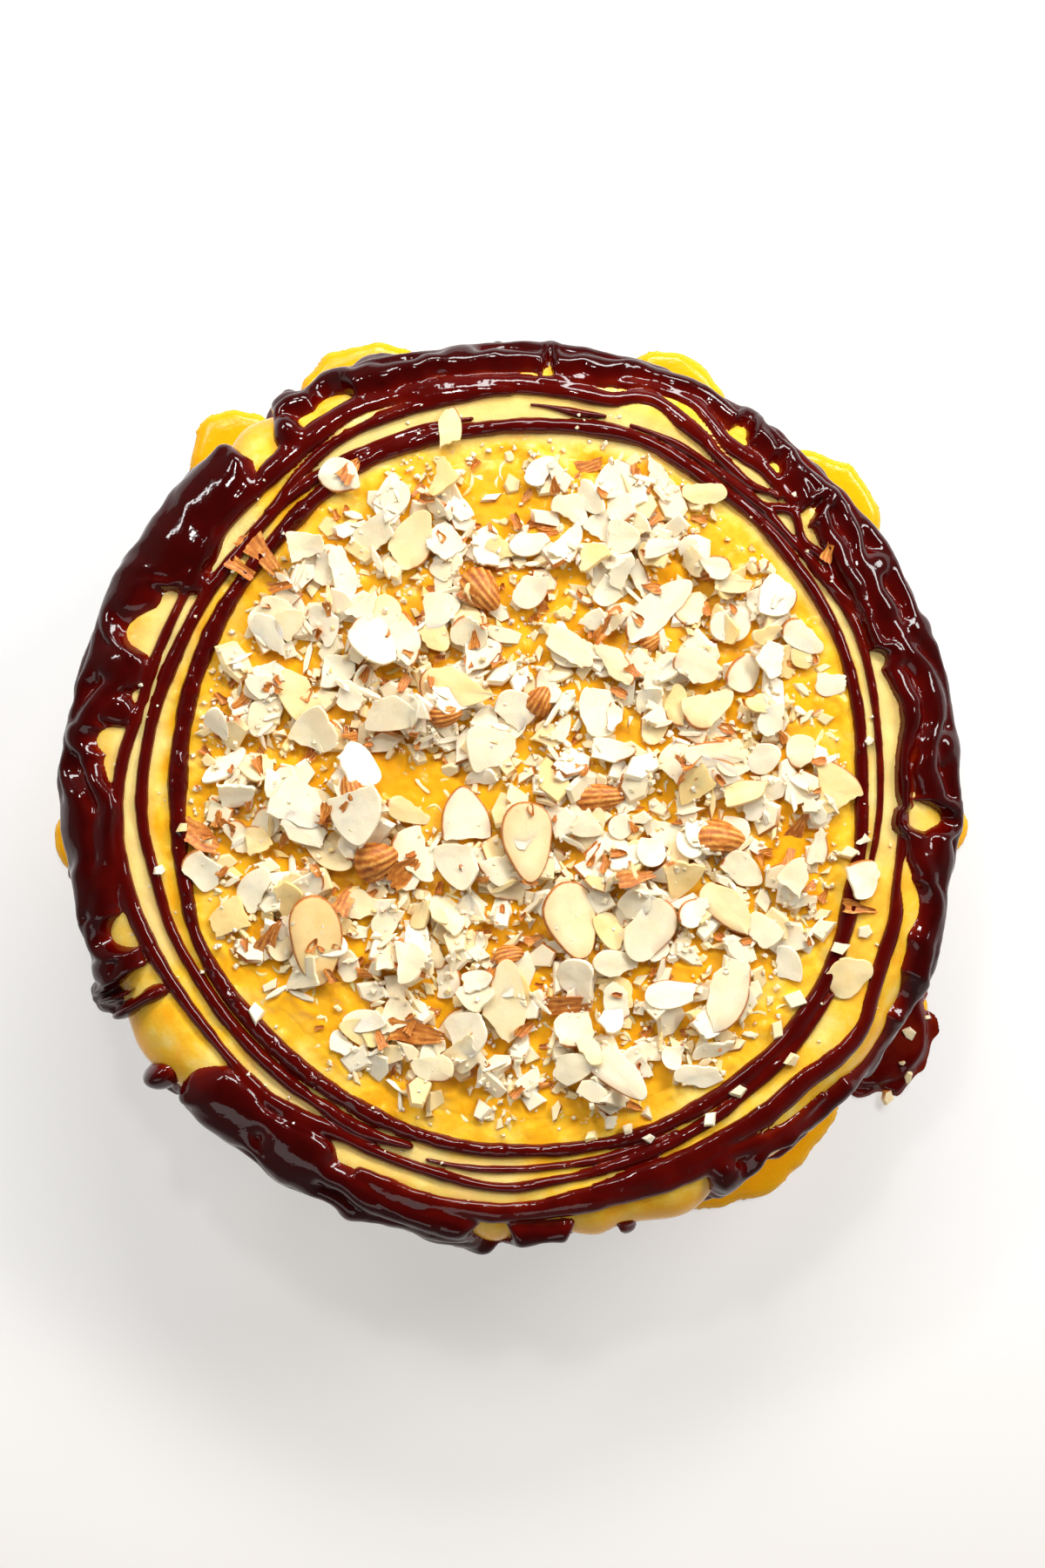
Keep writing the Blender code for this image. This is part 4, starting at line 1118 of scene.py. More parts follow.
def coat_height(sheet, inside, ridges):
    """Thickness of the coat: a thin body, its strands and the thick blobs."""
    stations = sheet.stations
    flat = np.clip((SKIRT_START + 1.5 - stations) / 4.0, 0.0, 1.0)
    lively = 1.0 + 0.9 * hump(turn_apart(sheet.angles, LIVELY_ANGLE), 0.0, 50.0)
    body = COAT_THICK - 0.8 * flat + 0.3 * sheet.noise(12.0, 14) + 0.5 * lively * sheet.noise(4.5, 17, 2.0)
    body = blend_max(body * rise(inside, 2.0), ridges * rise(inside + 1.0, 1.5), 0.4)
    for angle, radius, half_long, half_wide, extra in BLOBS:
        blob = spot_distance(sheet, angle, radius, half_long, half_wide) + 0.5 * sheet.noise(6.0, 16)
        body = blend_max(body, (COAT_THICK + extra) * rise(blob, min(half_long, half_wide)), 1.0)
    side = hump(stations - SHOULDER, 3.0, 8.0)
    body = bulged(sheet, body, BULGES, side)
    swell = np.maximum(ring_noise(sheet, 0.055, 90), -0.3)
    dip, dip_half, dip_depth = COAT_DIP
    body = body + 0.6 * side * swell - dip_depth * hump(stations, dip, dip_half)
    hanging = np.clip((stations - SHOULDER) / 6.0, 0.0, 1.0)
    body = body + 0.7 * hanging * hump(inside, 3.0, 2.2) - 0.5 * hanging
    ridge, ridge_half, ridge_height = COAT_RIDGE
    body = body + ridge_height * hump(stations, ridge, ridge_half)
    body = body + 0.1 * lively * sheet.noise(2.6, 18, 1.5)
    return np.maximum(body, 0.1) * rise(inside, 2.4)


def ganache_fields(sheet):
    """Distance inside the ganache's edge, and its thickness."""
    merged, ridges = coat_strands(sheet)
    inside = coat_inside(sheet, merged)
    thick = np.where(inside > 0.0, coat_height(sheet, np.maximum(inside, 0.0), ridges), 0.0)
    for seed, points in enumerate(STRANDS):
        strand, tall = strand_field(sheet, points, seed)
        both = blend_max(thick, tall, 0.7) + 0.25 * np.minimum(thick, tall)
        thick = np.where((strand > 0.0) & (inside > 0.0), both, np.maximum(thick, tall))
        inside = np.maximum(inside, strand)
    return inside, thick


def make_ganache(material):
    """Makes the coat with its strands; returns its grid, and how high it reaches off the cake."""
    sheet = Sheet(GANACHE_TURNS, stations_of(*GANACHE_ROWS))
    inside, thick = ganache_fields(sheet)
    under = custard_inside(sheet)
    base = custard_thickness(sheet, under) * (under > 0.0) - 0.12
    made = closed_sheet("ganache_coat", sheet, base, thick, inside, 0.7, material)
    thin_back(made, BACK_SHARE)
    carried(made, "ganache", "ganache")
    return sheet, base + np.where(inside > 0.0, thick, 0.0)


def bed_edge(angle):
    return smooth_between([point[:2] for point in RING_INNER], angle) - BED_CLEARANCE


def bed_height(x, y):
    """Height of the almonds' bed over the ground, on the flat top."""
    radius = np.hypot(x, y)
    turns = np.degrees(np.arctan2(y, x)) % 360.0
    edges = np.array([bed_edge(angle) for angle in range(360)])
    share = radius / edges[np.round(turns).astype(int) % 360]
    points = np.stack([x, y, np.full_like(x, CAKE_TOP)], -1)
    mound = BED_CROWN * (1.0 - share**2) - 1.2 * np.clip((share - 0.94) / 0.06, 0.0, 2.0)
    lumps = 0.9 * np.maximum(0.0, bumps(points, 4.6, 8)) * np.clip(2.0 - 2.0 * share, 0.0, 1.0)
    return CAKE_TOP + CUSTARD_TOP + custard_body(points) + mound + lumps


def make_bed(material):
    """Round patch of a square grid, closed below by a flat back."""
    half = int((BED_RADIUS + 8.0) / BED_STEP)
    line = np.arange(-half, half + 1) * BED_STEP
    x, y = np.meshgrid(line, line, indexing="ij")
    height = bed_height(x, y)
    corner = np.hypot(x, y) < BED_RADIUS
    cell = corner[:-1, :-1] & corner[1:, :-1] & corner[1:, 1:] & corner[:-1, 1:]
    first, second = np.nonzero(cell)
    corners = ((first, second), (first + 1, second), (first + 1, second + 1), (first, second + 1))
    used, faces = slab_faces(corners, x.shape)
    top = np.stack([x[used], y[used], height[used]], -1)
    back = top * (1.0, 1.0, 0.0) + (0.0, 0.0, CAKE_TOP + 1.0)
    made = new_object("nut_bed", np.concatenate([top, back]), faces, material)
    thin_back(made, BED_BACK_SHARE)
    return carried(made, "custard", "almond_topping")


class Ground:
    """Heights that loose pieces come to rest on, kept on a square grid."""

    STEP = 0.5
    HALF = 116.0

    def __init__(self, sheet, ganache_top):
        line = np.arange(-self.HALF, self.HALF + self.STEP, self.STEP)
        x, y = np.meshgrid(line, line, indexing="ij")
        radius = np.hypot(x, y)
        turn = np.degrees(np.arctan2(y, x)) % 360.0
        points = np.stack([x, y, np.full_like(x, CAKE_TOP)], -1)
        self.height = CAKE_TOP + CUSTARD_TOP + custard_body(points)
        bed = np.maximum(self.height, bed_height(x, y))
        self.height = np.where(radius < BED_RADIUS + 2.0, bed, self.height)
        self.sheet, self.glaze = sheet, ganache_top
        glaze = CAKE_TOP + sheet.at(ganache_top, turn, radius)
        glaze = np.where((radius > GANACHE_START + 0.5) & (radius < FLAT), glaze, 0.0)
        self.height = np.maximum(self.height, glaze)
        over = np.clip((radius - FLAT) / (CAKE_EDGE + CUSTARD_TOP), 0.0, 1.0)
        self.height = self.height - (CAKE_EDGE + CUSTARD_TOP) * (1.0 - np.sqrt(1.0 - over**2))

    def foot_height(self, angle, radius):
        """Height of what has run out over the ground."""
        return float(self.sheet.at(self.glaze, angle, GROUND + radius - GROUND_START))

    def place(self, x, y):
        """Column and row of the grid place that is nearest."""
        return int(round((x + self.HALF) / self.STEP)), int(round((y + self.HALF) / self.STEP))

    def cells(self, outline):
        """Grid places inside an outline of points that turns anticlockwise."""
        low = np.floor((outline.min(0) + self.HALF) / self.STEP).astype(int)
        high = np.ceil((outline.max(0) + self.HALF) / self.STEP).astype(int) + 1
        x, y = np.meshgrid(np.arange(low[0], high[0]), np.arange(low[1], high[1]), indexing="ij")
        px, py = x * self.STEP - self.HALF, y * self.STEP - self.HALF
        inside = np.ones(x.shape, bool)
        for a, b in zip(outline, np.roll(outline, -1, 0)):
            inside &= (b[0] - a[0]) * (py - a[1]) - (b[1] - a[1]) * (px - a[0]) > -0.3
        return x[inside], y[inside], px[inside], py[inside]

    def rest(self, outline, thick, draw, sink=0.4, steepest=STEEPEST, jitter=0.12):
        """Plane on which a flat piece lies: height at the axis, slope along x and y. Raises the ground."""
        column, row, px, py = self.cells(outline)
        if len(px) < 3:
            nearest = self.place(*outline.mean(0))
            height = self.height[nearest]
            self.height[nearest] = height + 0.7 * thick
            return height, 0.0, 0.0
        below = self.height[column, row]
        centre = outline.mean(0)
        basis = np.stack([np.ones_like(px), px - centre[0], py - centre[1]], -1)
        weight = np.ones_like(px)
        for _ in range(3):
            weighted = basis * weight[:, None]
            fit = np.linalg.lstsq(weighted, below * weight, rcond=None)[0]
            weight = np.exp(np.clip((below - basis @ fit) / 0.6, -2.5, 2.5))
        slope = fit[1:] + np.array([draw.uniform(-jitter, jitter), draw.uniform(-jitter, jitter)])
        steep = max(1.0, float(np.hypot(*slope)) / steepest)
        slope = slope / steep
        rest_of = below - basis[:, 1:] @ slope
        level = np.quantile(rest_of, 0.85) - sink
        self.height[column, row] = np.maximum(below, level + basis[:, 1:] @ slope + thick)
        return level, slope[0], slope[1]


class Heap:
    """Many small closed shapes gathered into one mesh."""

    def __init__(self):
        self.points, self.faces, self.skin, self.tint = [], [], [], []
        self.count = 0

    def add(self, points, faces, skin, tint):
        self.points.append(points)
        self.faces += [[corner + self.count for corner in face] for face in faces]
        self.skin.append(np.asarray(skin, float))
        self.tint.append(np.zeros(len(points)) + tint)
        self.count += len(points)

    def build(self, name, material, crease):
        values = {"skin": np.concatenate(self.skin), "tint": np.concatenate(self.tint)}
        return new_object(name, np.concatenate(self.points), self.faces, material, values, crease)


def turned(points, turn):
    """X and y of points after a turn about the origin, in radians."""
    cosine, sine = math.cos(turn), math.sin(turn)
    x = points[:, 0] * cosine - points[:, 1] * sine
    y = points[:, 0] * sine + points[:, 1] * cosine
    return x, y


def laid(points, centre, turn, level, slope_x, slope_y):
    """Turns a flat-lying shape and lays it on a plane."""
    x, y = turned(points, turn)
    lean = 1.0 / math.sqrt(1.0 + slope_x**2 + slope_y**2)
    up = np.array([-slope_x * lean, -slope_y * lean, lean])
    flat = np.stack([x + centre[0], y + centre[1], level + x * slope_x + y * slope_y], -1)
    return flat + points[:, 2:3] * up


def turned_outline(outline, turn, centre):
    return np.stack(turned(outline, turn), -1) + centre


def ring_faces(start, other, count):
    """Quads between two rings of points, the first one above or inside."""
    return [
        (start + k, other + k, other + (k + 1) % count, start + (k + 1) % count) for k in range(count)
    ]


def slice_outline(length, width, draw, breaks, count=30):
    """Outline of an almond slice with its pointed end at +X, and straight broken edges.

    Breaks holds a direction for each, and how far out it lies as a share of the slice's reach.
    """
    turn = np.arange(count) * 2.0 * math.pi / count
    wobble = 1.0 + 0.02 * np.sin(3.0 * turn + draw.uniform(0, 6))
    wobble = wobble + 0.015 * np.sin(5.0 * turn + draw.uniform(0, 6))
    x = 0.5 * length * np.cos(turn) * wobble
    y = 0.5 * width * np.sin(turn) * wobble * (1.0 - 0.25 * np.cos(turn))
    outline = np.stack([x, y], -1)
    cut = np.zeros(count)
    for direction, share in breaks:
        normal = np.array([math.cos(direction), math.sin(direction)])
        side = np.array([-normal[1], normal[0]])
        reach = outline @ normal
        jag = 0.3 * np.array([draw.uniform(-1.0, 1.0) for _ in range(count)])
        past = np.maximum(reach - share * reach.max() - jag - 0.12 * (outline @ side), 0.0)
        outline = outline - past[:, None] * normal
        cut = np.maximum(cut, past > 0.0)
    return outline, cut


def slice_shape(outline, skinned, thick, draw, curl):
    """Thin almond plate with rounded rims; a skinned rim slants so that it shows from above."""
    count = len(outline)
    reach = np.maximum(np.linalg.norm(outline, axis=1), 0.5)[:, None]
    inset = np.minimum(0.16 + 0.55 * skinned, 0.3 * reach[:, 0])[:, None]
    top = 0.5 * thick
    rings = (
        (outline * 0.5, top, 0.0),
        (outline * (1.0 - inset / reach), top, 0.2 * skinned),
        (outline * (1.0 - 0.45 * inset / reach), top - 0.16, skinned),
        (outline, -0.6 * top, skinned),
        (outline * (1.0 - 0.2 / reach), -top, 0.3 * skinned),
    )
    points = [(0.0, 0.0, top)]
    skin = [0.0]
    for flat, height, share in rings:
        points += [(x, y, height) for x, y in flat]
        skin += list(share + np.zeros(count))
    points.append((0.0, 0.0, -top))
    skin.append(0.0)
    faces = [(0, 1 + k, 1 + (k + 1) % count) for k in range(count)]
    for ring in range(len(rings) - 1):
        faces += ring_faces(1 + ring * count, 1 + (ring + 1) * count, count)
    last = 1 + (len(rings) - 1) * count
    faces += [(last + (k + 1) % count, last + k, last + count) for k in range(count)]
    points = np.array(points)
    x, y = points[:, 0], points[:, 1]
    half = 0.5 * np.ptp(x)
    bend = curl * (x / half) ** 2 + 0.3 * curl * (y / half) * (x / half)
    wave = 0.12 * np.sin(0.9 * x + draw.uniform(0, 6)) + 0.10 * np.sin(1.1 * y + draw.uniform(0, 6))
    points[:, 2] += bend + wave
    return points, faces, np.array(skin)


def add_slice(heap, ground, x, y, length, width, turn, rim, broken, draw):
    """Places an almond slice; see SLICES for the turn, the rim and the broken edge."""
    turn = math.radians(turn)
    breaks = []
    if broken is not None:
        breaks.append((math.radians(broken) - turn, draw.uniform(0.35, 0.6)))
    if rim != ALL_ROUND:
        for _ in range(draw.choice((1, 2, 2, 3, 3))):
            breaks.append((draw.uniform(0.0, 2.0 * math.pi), draw.uniform(0.55, 0.9)))
    outline, cut = slice_outline(length, width, draw, breaks)
    skinned = np.zeros(len(outline))
    if rim is None and draw.random() < RIM_CHANCE:
        rim = draw.uniform(0.0, 360.0)
    if rim is not None:
        facing = np.arctan2(outline[:, 1] * length / width, outline[:, 0]) + turn
        reach = math.pi if rim == ALL_ROUND else draw.uniform(0.6, 1.3)
        apart = abs((facing - math.radians(rim) + math.pi) % (2.0 * math.pi) - math.pi)
        skinned = np.where(apart <= reach, 1.0, 0.0) * (1.0 - cut)
    thick = SLICE_THICK * draw.uniform(0.8, 1.2)
    curl = draw.uniform(-0.4, 0.9) * min(1.0, length / 14.0)
    points, faces, skin = slice_shape(outline, skinned, thick, draw, curl)
    steepest = min(STEEPEST, SLICE_LIFT / length)
    level, sx, sy = ground.rest(turned_outline(outline, turn, (x, y)), thick, draw, steepest=steepest)
    placed = laid(points, (x, y), turn, level + 0.5 * thick + max(0.0, -curl), sx, sy)
    tint = draw.uniform(0.0, 0.3) if draw.random() < 0.68 else draw.uniform(0.35, 0.85)
    heap.add(placed, faces, skin, tint)


def chip_outline(length, width, draw, count):
    """Angular outline with uneven corners."""
    start = draw.uniform(0.0, 2.0 * math.pi)
    turns = [start + 2.0 * math.pi * (k + draw.uniform(-0.28, 0.28)) / count for k in range(count)]
    reach = [draw.uniform(0.78, 1.08) for _ in range(count)]
    return np.array(
        [(0.5 * length * r * math.cos(t), 0.5 * width * r * math.sin(t)) for t, r in zip(turns, reach)]
    )


def chip_shape(outline, thick, skinned_edge, draw):
    """Angular block with narrow bevels, whose top is a little smaller and shifted."""
    count = len(outline)
    reach = np.linalg.norm(outline, axis=1)[:, None]
    bevel = np.minimum(0.22, 0.2 * reach)
    shift = np.array([draw.uniform(-0.25, 0.25), draw.uniform(-0.25, 0.25)]) * thick
    scale = draw.uniform(0.8, 1.0)
    top = 0.5 * thick
    edge = min(0.18, 0.3 * top)
    rings = (
        (outline * scale * (1.0 - bevel / reach) + shift, top),
        (outline * scale + shift, top - edge),
        (outline, edge - top),
        (outline * (1.0 - bevel / reach), -top),
    )
    points = [(x, y, height) for flat, height in rings for x, y in flat]
    faces = [tuple(range(count))]
    for ring in range(len(rings) - 1):
        faces += ring_faces(ring * count, (ring + 1) * count, count)
    faces.append(tuple(reversed(range(3 * count, 4 * count))))
    points = np.array(points)
    tip = thick * draw.uniform(-0.25, 0.25)
    points[:, 2] += tip * points[:, 0] / max(np.ptp(points[:, 0]), 0.1)
    skin = np.zeros(len(points))
    if skinned_edge:
        for k in (0, 1):
            skin[count + k] = 1.0
            skin[2 * count + k] = 1.0
    return points, faces, skin


def add_chip(heap, ground, x, y, length, width, turn, thick, draw, sides, skin_chance, stain_and_shade=0.0):
    """Places an angular piece; stain_and_shade makes it browner, for the custard that soaks it and as
    painted warm shade where it lies low in the heap.
    """
    turn = math.radians(turn)
    outline = chip_outline(length, width, draw, sides)
    points, faces, skin = chip_shape(outline, thick, draw.random() < skin_chance, draw)
    level, sx, sy = ground.rest(turned_outline(outline, turn, (x, y)), thick, draw, 0.55, 0.7, 0.25)
    placed = laid(points, (x, y), turn, level + 0.5 * thick, sx, sy)
    # The stain and the painted warm shade move the flesh towards tan
    tint = stain_and_shade + (draw.uniform(0.0, 0.3) if draw.random() < 0.8 else draw.uniform(0.4, 0.8))
    heap.add(placed, faces, skin, tint)


def add_fall_chips(heap, ground, draw):
    for angle, radius, length in FALL_CHIPS:
        outline = chip_outline(length, 0.7 * length, draw, 5)
        points, faces, skin = chip_shape(outline, STRAY_THICK, draw.random() < 0.4, draw)
        level = max(1.4, ground.foot_height(angle, radius))
        tilt = (draw.uniform(-0.4, 0.4), draw.uniform(-0.4, 0.4))
        placed = laid(points, polar(angle, radius), draw.uniform(0.0, 6.0), level, *tilt)
        heap.add(placed, faces, skin, 0.4)


def flake_shape(length, width, draw, rows=8, columns=9):
    """Thin wrinkled flake of skin with a ragged outline, ridged along its length."""
    u = np.linspace(-0.5, 0.5, rows)[:, None]
    v = np.linspace(-0.5, 0.5, columns)[None, :]
    lean = draw.uniform(-0.6, 0.6)
    ends = 1.0 - draw.uniform(0.3, 0.8) * np.clip(u + 0.5, 0.0, 1.0) ** 1.5
    ragged = np.array([[draw.uniform(-0.09, 0.09) for _ in range(columns)] for _ in range(2)])
    torn = ragged[:1] * (u < -0.4) + ragged[1:] * (u > 0.4)
    x = length * (u + torn + lean * 0.3 * v)
    y = width * v * ends * (1.0 + 0.15 * np.sin(7.0 * u + 9.0 * lean))
    phase = draw.random()
    weave = 0.25 * np.sin(5.0 * u + 6.0 * phase)
    streak = np.cos(2.0 * math.pi * (v * 3.0 + phase + weave)) * (0.6 + 0.4 * np.cos(9.0 * u + 8.0 * v))
    curl = draw.uniform(-0.3, 0.9) * (2.0 * v) ** 2 + draw.uniform(-0.3, 0.6) * (2.0 * u) ** 2
    z = 0.11 * streak + curl
    top = np.stack([x, y, z + 0.2], -1).reshape(-1, 3)
    low = np.stack([x * 0.97, y * 0.97, z - 0.2], -1).reshape(-1, 3)
    count = rows * columns
    faces = []
    for r in range(rows - 1):
        for c in range(columns - 1):
            a = r * columns + c
            faces.append((a, a + columns, a + columns + 1, a + 1))
            faces.append((a + 1 + count, a + columns + 1 + count, a + columns + count, a + count))
    rim = list(range(columns))
    rim += [r * columns + columns - 1 for r in range(1, rows)]
    rim += [(rows - 1) * columns + c for c in range(columns - 2, -1, -1)]
    rim += [r * columns for r in range(rows - 2, 0, -1)]
    for a, b in zip(rim, rim[1:] + rim[:1]):
        faces.append((a, b, b + count, a + count))
    shade = np.tile((0.5 + 0.5 * streak).reshape(-1), 2)
    return np.concatenate([top, low]), faces, np.ones(2 * count), shade


def cap_shape(length, width, draw, rows=9, columns=54):
    """End of an almond in its wrinkled skin: a ridged dome over a flat cut."""
    points, shade = [(0.0, 0.0, 0.42 * width)], [0.5]
    phase = draw.uniform(0, 6)
    for row in range(1, rows + 1):
        lean = 0.5 * math.pi * row / rows
        for k in range(columns):
            turn = 2.0 * math.pi * k / columns
            across = math.sin(lean) * math.sin(turn)
            streak = math.sin(15.0 * math.asin(across) + phase)
            ridge = 1.0 + 0.05 * streak
            x = 0.5 * length * math.sin(lean) * math.cos(turn)
            y = 0.5 * width * across * (1.0 - 0.3 * math.sin(lean) * math.cos(turn)) * ridge
            points.append((x, y, 0.42 * width * math.cos(lean) * ridge))
            shade.append(0.5 + 0.5 * streak)
    last = 1 + (rows - 1) * columns
    points += [(0.92 * x, 0.92 * y, -0.5) for x, y, _ in points[last : last + columns]]
    shade += [0.5] * columns
    faces = [(0, 1 + k, 1 + (k + 1) % columns) for k in range(columns)]
    for row in range(rows):
        faces += ring_faces(1 + row * columns, 1 + (row + 1) * columns, columns)
    foot = 1 + rows * columns
    faces.append(tuple(reversed(range(foot, foot + columns))))
    return np.array(points), faces, np.ones(len(points)), np.array(shade)


def add_shape(heap, ground, shape, x, y, length, width, turn, draw, sink):
    """Places a flake or a cap whose footprint is about an oval."""
    points, faces, skin, shade = shape(length, width, draw)
    turn = math.radians(turn)
    outline, _ = slice_outline(0.9 * length, 0.9 * width, draw, (), 12)
    thick = 0.7 * float(points[:, 2].max())
    level, sx, sy = ground.rest(turned_outline(outline, turn, (x, y)), thick, draw, sink)
    low = float(points[:, 2].min())
    heap.add(laid(points, (x, y), turn, level - low, sx, sy), faces, skin, shade)


def shred_shape(length, draw, steps=6):
    """Curved sliver of coconut with a flat oval section."""
    arc = draw.uniform(-1.1, 1.1)
    wide, thin = draw.uniform(0.45, 0.75), draw.uniform(0.25, 0.4)
    points, faces = [], []
    sides = 5
    for step in range(steps + 1):
        along = step / steps - 0.5
        taper = math.sqrt(max(0.08, 1.0 - (2.0 * along) ** 4))
        x = length * along
        bend = arc * length * 0.35 * (4.0 * along**2)
        for k in range(sides):
            turn = 2.0 * math.pi * k / sides
            points.append((x, bend + wide * taper * math.cos(turn), thin * taper * math.sin(turn)))
    for step in range(steps):
        faces += ring_faces(step * sides, (step + 1) * sides, sides)
    faces.append(tuple(range(sides)))
    faces.append(tuple(reversed(range(steps * sides, (steps + 1) * sides))))
    return np.array(points), faces


def spread(count, seed, edge_share=0.97):
    """Places over the bed, evenly and by chance, without those in bare spots; yields x, y and a draw."""
    draw = random.Random(seed)
    found = 0
    while found < count:
        angle = draw.uniform(0.0, 360.0)
        radius = bed_edge(angle) * edge_share * math.sqrt(draw.random())
        x, y = polar(angle, radius)
        if any(math.hypot(x - a, y - b) < r * draw.uniform(0.75, 1.15) for a, b, r in BARE):
            if draw.random() < 0.9:
                continue
        found += 1
        yield x, y, draw


def make_shreds(ground, material):
    """Coconut shreds half sunk in the custard, on the bed and out to the strands."""
    heap = Heap()
    count, short, long = SHREDS
    draw = random.Random(SEED + 30)
    for _ in range(count):
        angle = draw.uniform(0.0, 360.0)
        radius = 0.97 * bed_edge(angle) * math.sqrt(draw.random())
        x, y = polar(angle, radius)
        points, faces = shred_shape(draw.uniform(short, long), draw)
        level = float(ground.height[ground.place(x, y)]) - draw.uniform(0.15, 0.4)
        slope = (draw.uniform(-0.06, 0.06), draw.uniform(-0.06, 0.06))
        placed = laid(points, (x, y), draw.uniform(0, 6.3), level, *slope)
        heap.add(placed, faces, np.zeros(len(points)), 0.0)
    made = heap.build("coconut_shreds", material, ROUND_CREASE)
    carried(made, "custard", "almond_topping", "custard_topping")


def add_crumbs(heap, ground, kinds, seed):
    count, short, long = kinds
    for x, y, draw in spread(count, seed, 1.0):
        length = draw.uniform(short, long)
        turn = draw.uniform(0, 360)
        add_chip(heap, ground, x, y, length, 0.8 * length, turn, 0.7 * length, draw, 4, 0.15)


def add_scraps(flakes, ground, seed, sink):
    count, short, long = SCRAPS
    for x, y, draw in spread(count, seed):
        length = draw.uniform(short, long)
        turn = draw.uniform(0, 360)
        add_shape(flakes, ground, flake_shape, x, y, length, 0.6 * length, turn, draw, sink)


def fill_bed(slices, chips, slivers, ground):
    """Chopped pieces and half buried slices, scattered over the bed."""
    count, short, long = CHIPS
    for x, y, draw in spread(count, SEED + 2):
        length = short + (long - short) * draw.random() ** 1.5
        width = length * draw.uniform(0.35, 0.8)
        thick = CHIP_THICK * draw.uniform(0.6, 1.4)
        sides = draw.choice((3, 4, 4, 5, 5, 6))
        # The last figure gives these low chips a stain with painted warm shade in it
        add_chip(chips, ground, x, y, length, width, draw.uniform(0, 360), thick, draw, sides, 0.3, 0.4)
    count, short, long = PLATES
    for x, y, draw in spread(count, SEED + 9, 0.94):
        length = draw.uniform(short, long)
        width = length * draw.uniform(0.5, 0.85)
        sides = draw.choice((4, 5, 5, 6))
        turn = draw.uniform(0, 360)
        add_chip(chips, ground, x, y, length, width, turn, PLATE_THICK, draw, sides, 0.4)
    count, short, long = UNDER_SLICES
    for x, y, draw in spread(count, SEED + 3, 0.92):
        length = draw.uniform(short, long)
        rim = draw.choice((None, draw.uniform(0, 360)))
        broken = draw.choice((None, draw.uniform(0, 360)))
        width = length * draw.uniform(0.55, 0.8)
        add_slice(slices, ground, x, y, length, width, draw.uniform(0, 360), rim, broken, draw)
    count, short, long = SLIVERS
    for x, y, draw in spread(count, SEED + 4):
        length = draw.uniform(short, long)
        width = draw.uniform(1.2, 2.2)
        turn = draw.uniform(0, 360)
        add_chip(slivers, ground, x, y, length, width, turn, SLIVER_THICK, draw, 6, 0.5)


def lay_seen(slices, chips, caps, flakes, ground):
    """Pieces that the photograph shows one by one, on top of the others."""
    draw = random.Random(SEED + 5)
    for piece in SLICES:
        add_slice(slices, ground, *piece, draw)
    for x, y, length, width, turn in CAPS:
        add_shape(caps, ground, cap_shape, x, y, length, width, turn, draw, 2.0)
    for piece in STRAY_SLICES:
        add_slice(slices, ground, *piece, draw)
    for x, y, length, width, turn in FLAKES:
        add_shape(flakes, ground, flake_shape, x, y, length, width, turn, draw, 0.5)
    for x, y, length, turn in STRAY_CHIPS:
        sides = draw.choice((3, 4, 4, 5))
        add_chip(chips, ground, x, y, length, 0.75 * length, turn, STRAY_THICK, draw, sides, 0.2)
    add_fall_chips(chips, ground, draw)


def add_coat_crumbs(crumbs, ground):
    draw = random.Random(SEED + 8)
    for _ in range(COAT_CRUMBS):
        angle, radius = draw.uniform(0, 2.0 * math.pi), draw.uniform(88.0, 112.0)
        length = draw.uniform(0.5, 1.3)
        x, y = radius * math.cos(angle), radius * math.sin(angle)
        add_chip(crumbs, ground, x, y, length, length, 0.0, 0.8 * length, draw, 4, 0.1)


def make_almonds(ground, flesh, brown):
    """Fills the bed, lays the pieces that show on it, and strews the last scraps and crumbs."""
    slices, chips, crumbs, slivers = Heap(), Heap(), Heap(), Heap()
    flakes, caps = Heap(), Heap()
    add_scraps(flakes, ground, SEED + 1, 0.5)
    fill_bed(slices, chips, slivers, ground)
    add_crumbs(crumbs, ground, CRUMBS, SEED + 7)
    lay_seen(slices, chips, caps, flakes, ground)
    add_scraps(flakes, ground, SEED + 6, 0.4)
    add_crumbs(crumbs, ground, TOP_CRUMBS, SEED + 10)
    add_coat_crumbs(crumbs, ground)
    carried(slices.build("almond_slices", flesh, SLICE_CREASE), "almond", "almond_topping", "ganache")
    carried(chips.build("almond_chips", flesh, CHIP_CREASE), "almond", "almond_topping", "ganache")
    carried(slivers.build("almond_slivers", flesh, CHIP_CREASE), "almond", "almond_topping")
    carried(crumbs.build("almond_crumbs", flesh, CHIP_CREASE), "almond", "almond_topping", "ganache")
    carried(caps.build("almond_caps", brown, ROUND_CREASE), "almond", "almond_topping")
    carried(flakes.build("almond_flakes", brown, ROUND_CREASE), "almond", "almond_topping", "ganache")


def turned_solid(name, profile, turns, relief, material):
    """Solid of revolution with relief across its surface, closed on the axis above and below."""
    angles = np.arange(turns) * 2.0 * math.pi / turns
    rows = []
    for radius, height in profile[1:-1]:
        level = np.full(turns, height)
        rows.append(np.stack([radius * np.cos(angles), radius * np.sin(angles), level], -1))
    points = np.stack(rows)
    reach = np.maximum(np.hypot(points[..., 0], points[..., 1]), 1.0)
    outward = points * (1.0, 1.0, 0.0) / reach[..., None]
    points = points + outward * relief(points)[..., None]
    points = points.reshape(-1, 3)
    points = np.concatenate([points, [(0.0, 0.0, profile[0][1]), (0.0, 0.0, profile[-1][1])]])
    faces = []
    for row in range(len(rows) - 1):
        faces += ring_faces(row * turns, (row + 1) * turns, turns)
    start, end, last = len(points) - 2, len(points) - 1, (len(rows) - 1) * turns
    faces += [(start, k, (k + 1) % turns) for k in range(turns)]
    faces += [(end, last + (k + 1) % turns, last + k) for k in range(turns)]
    return new_object(name, points, faces, material)


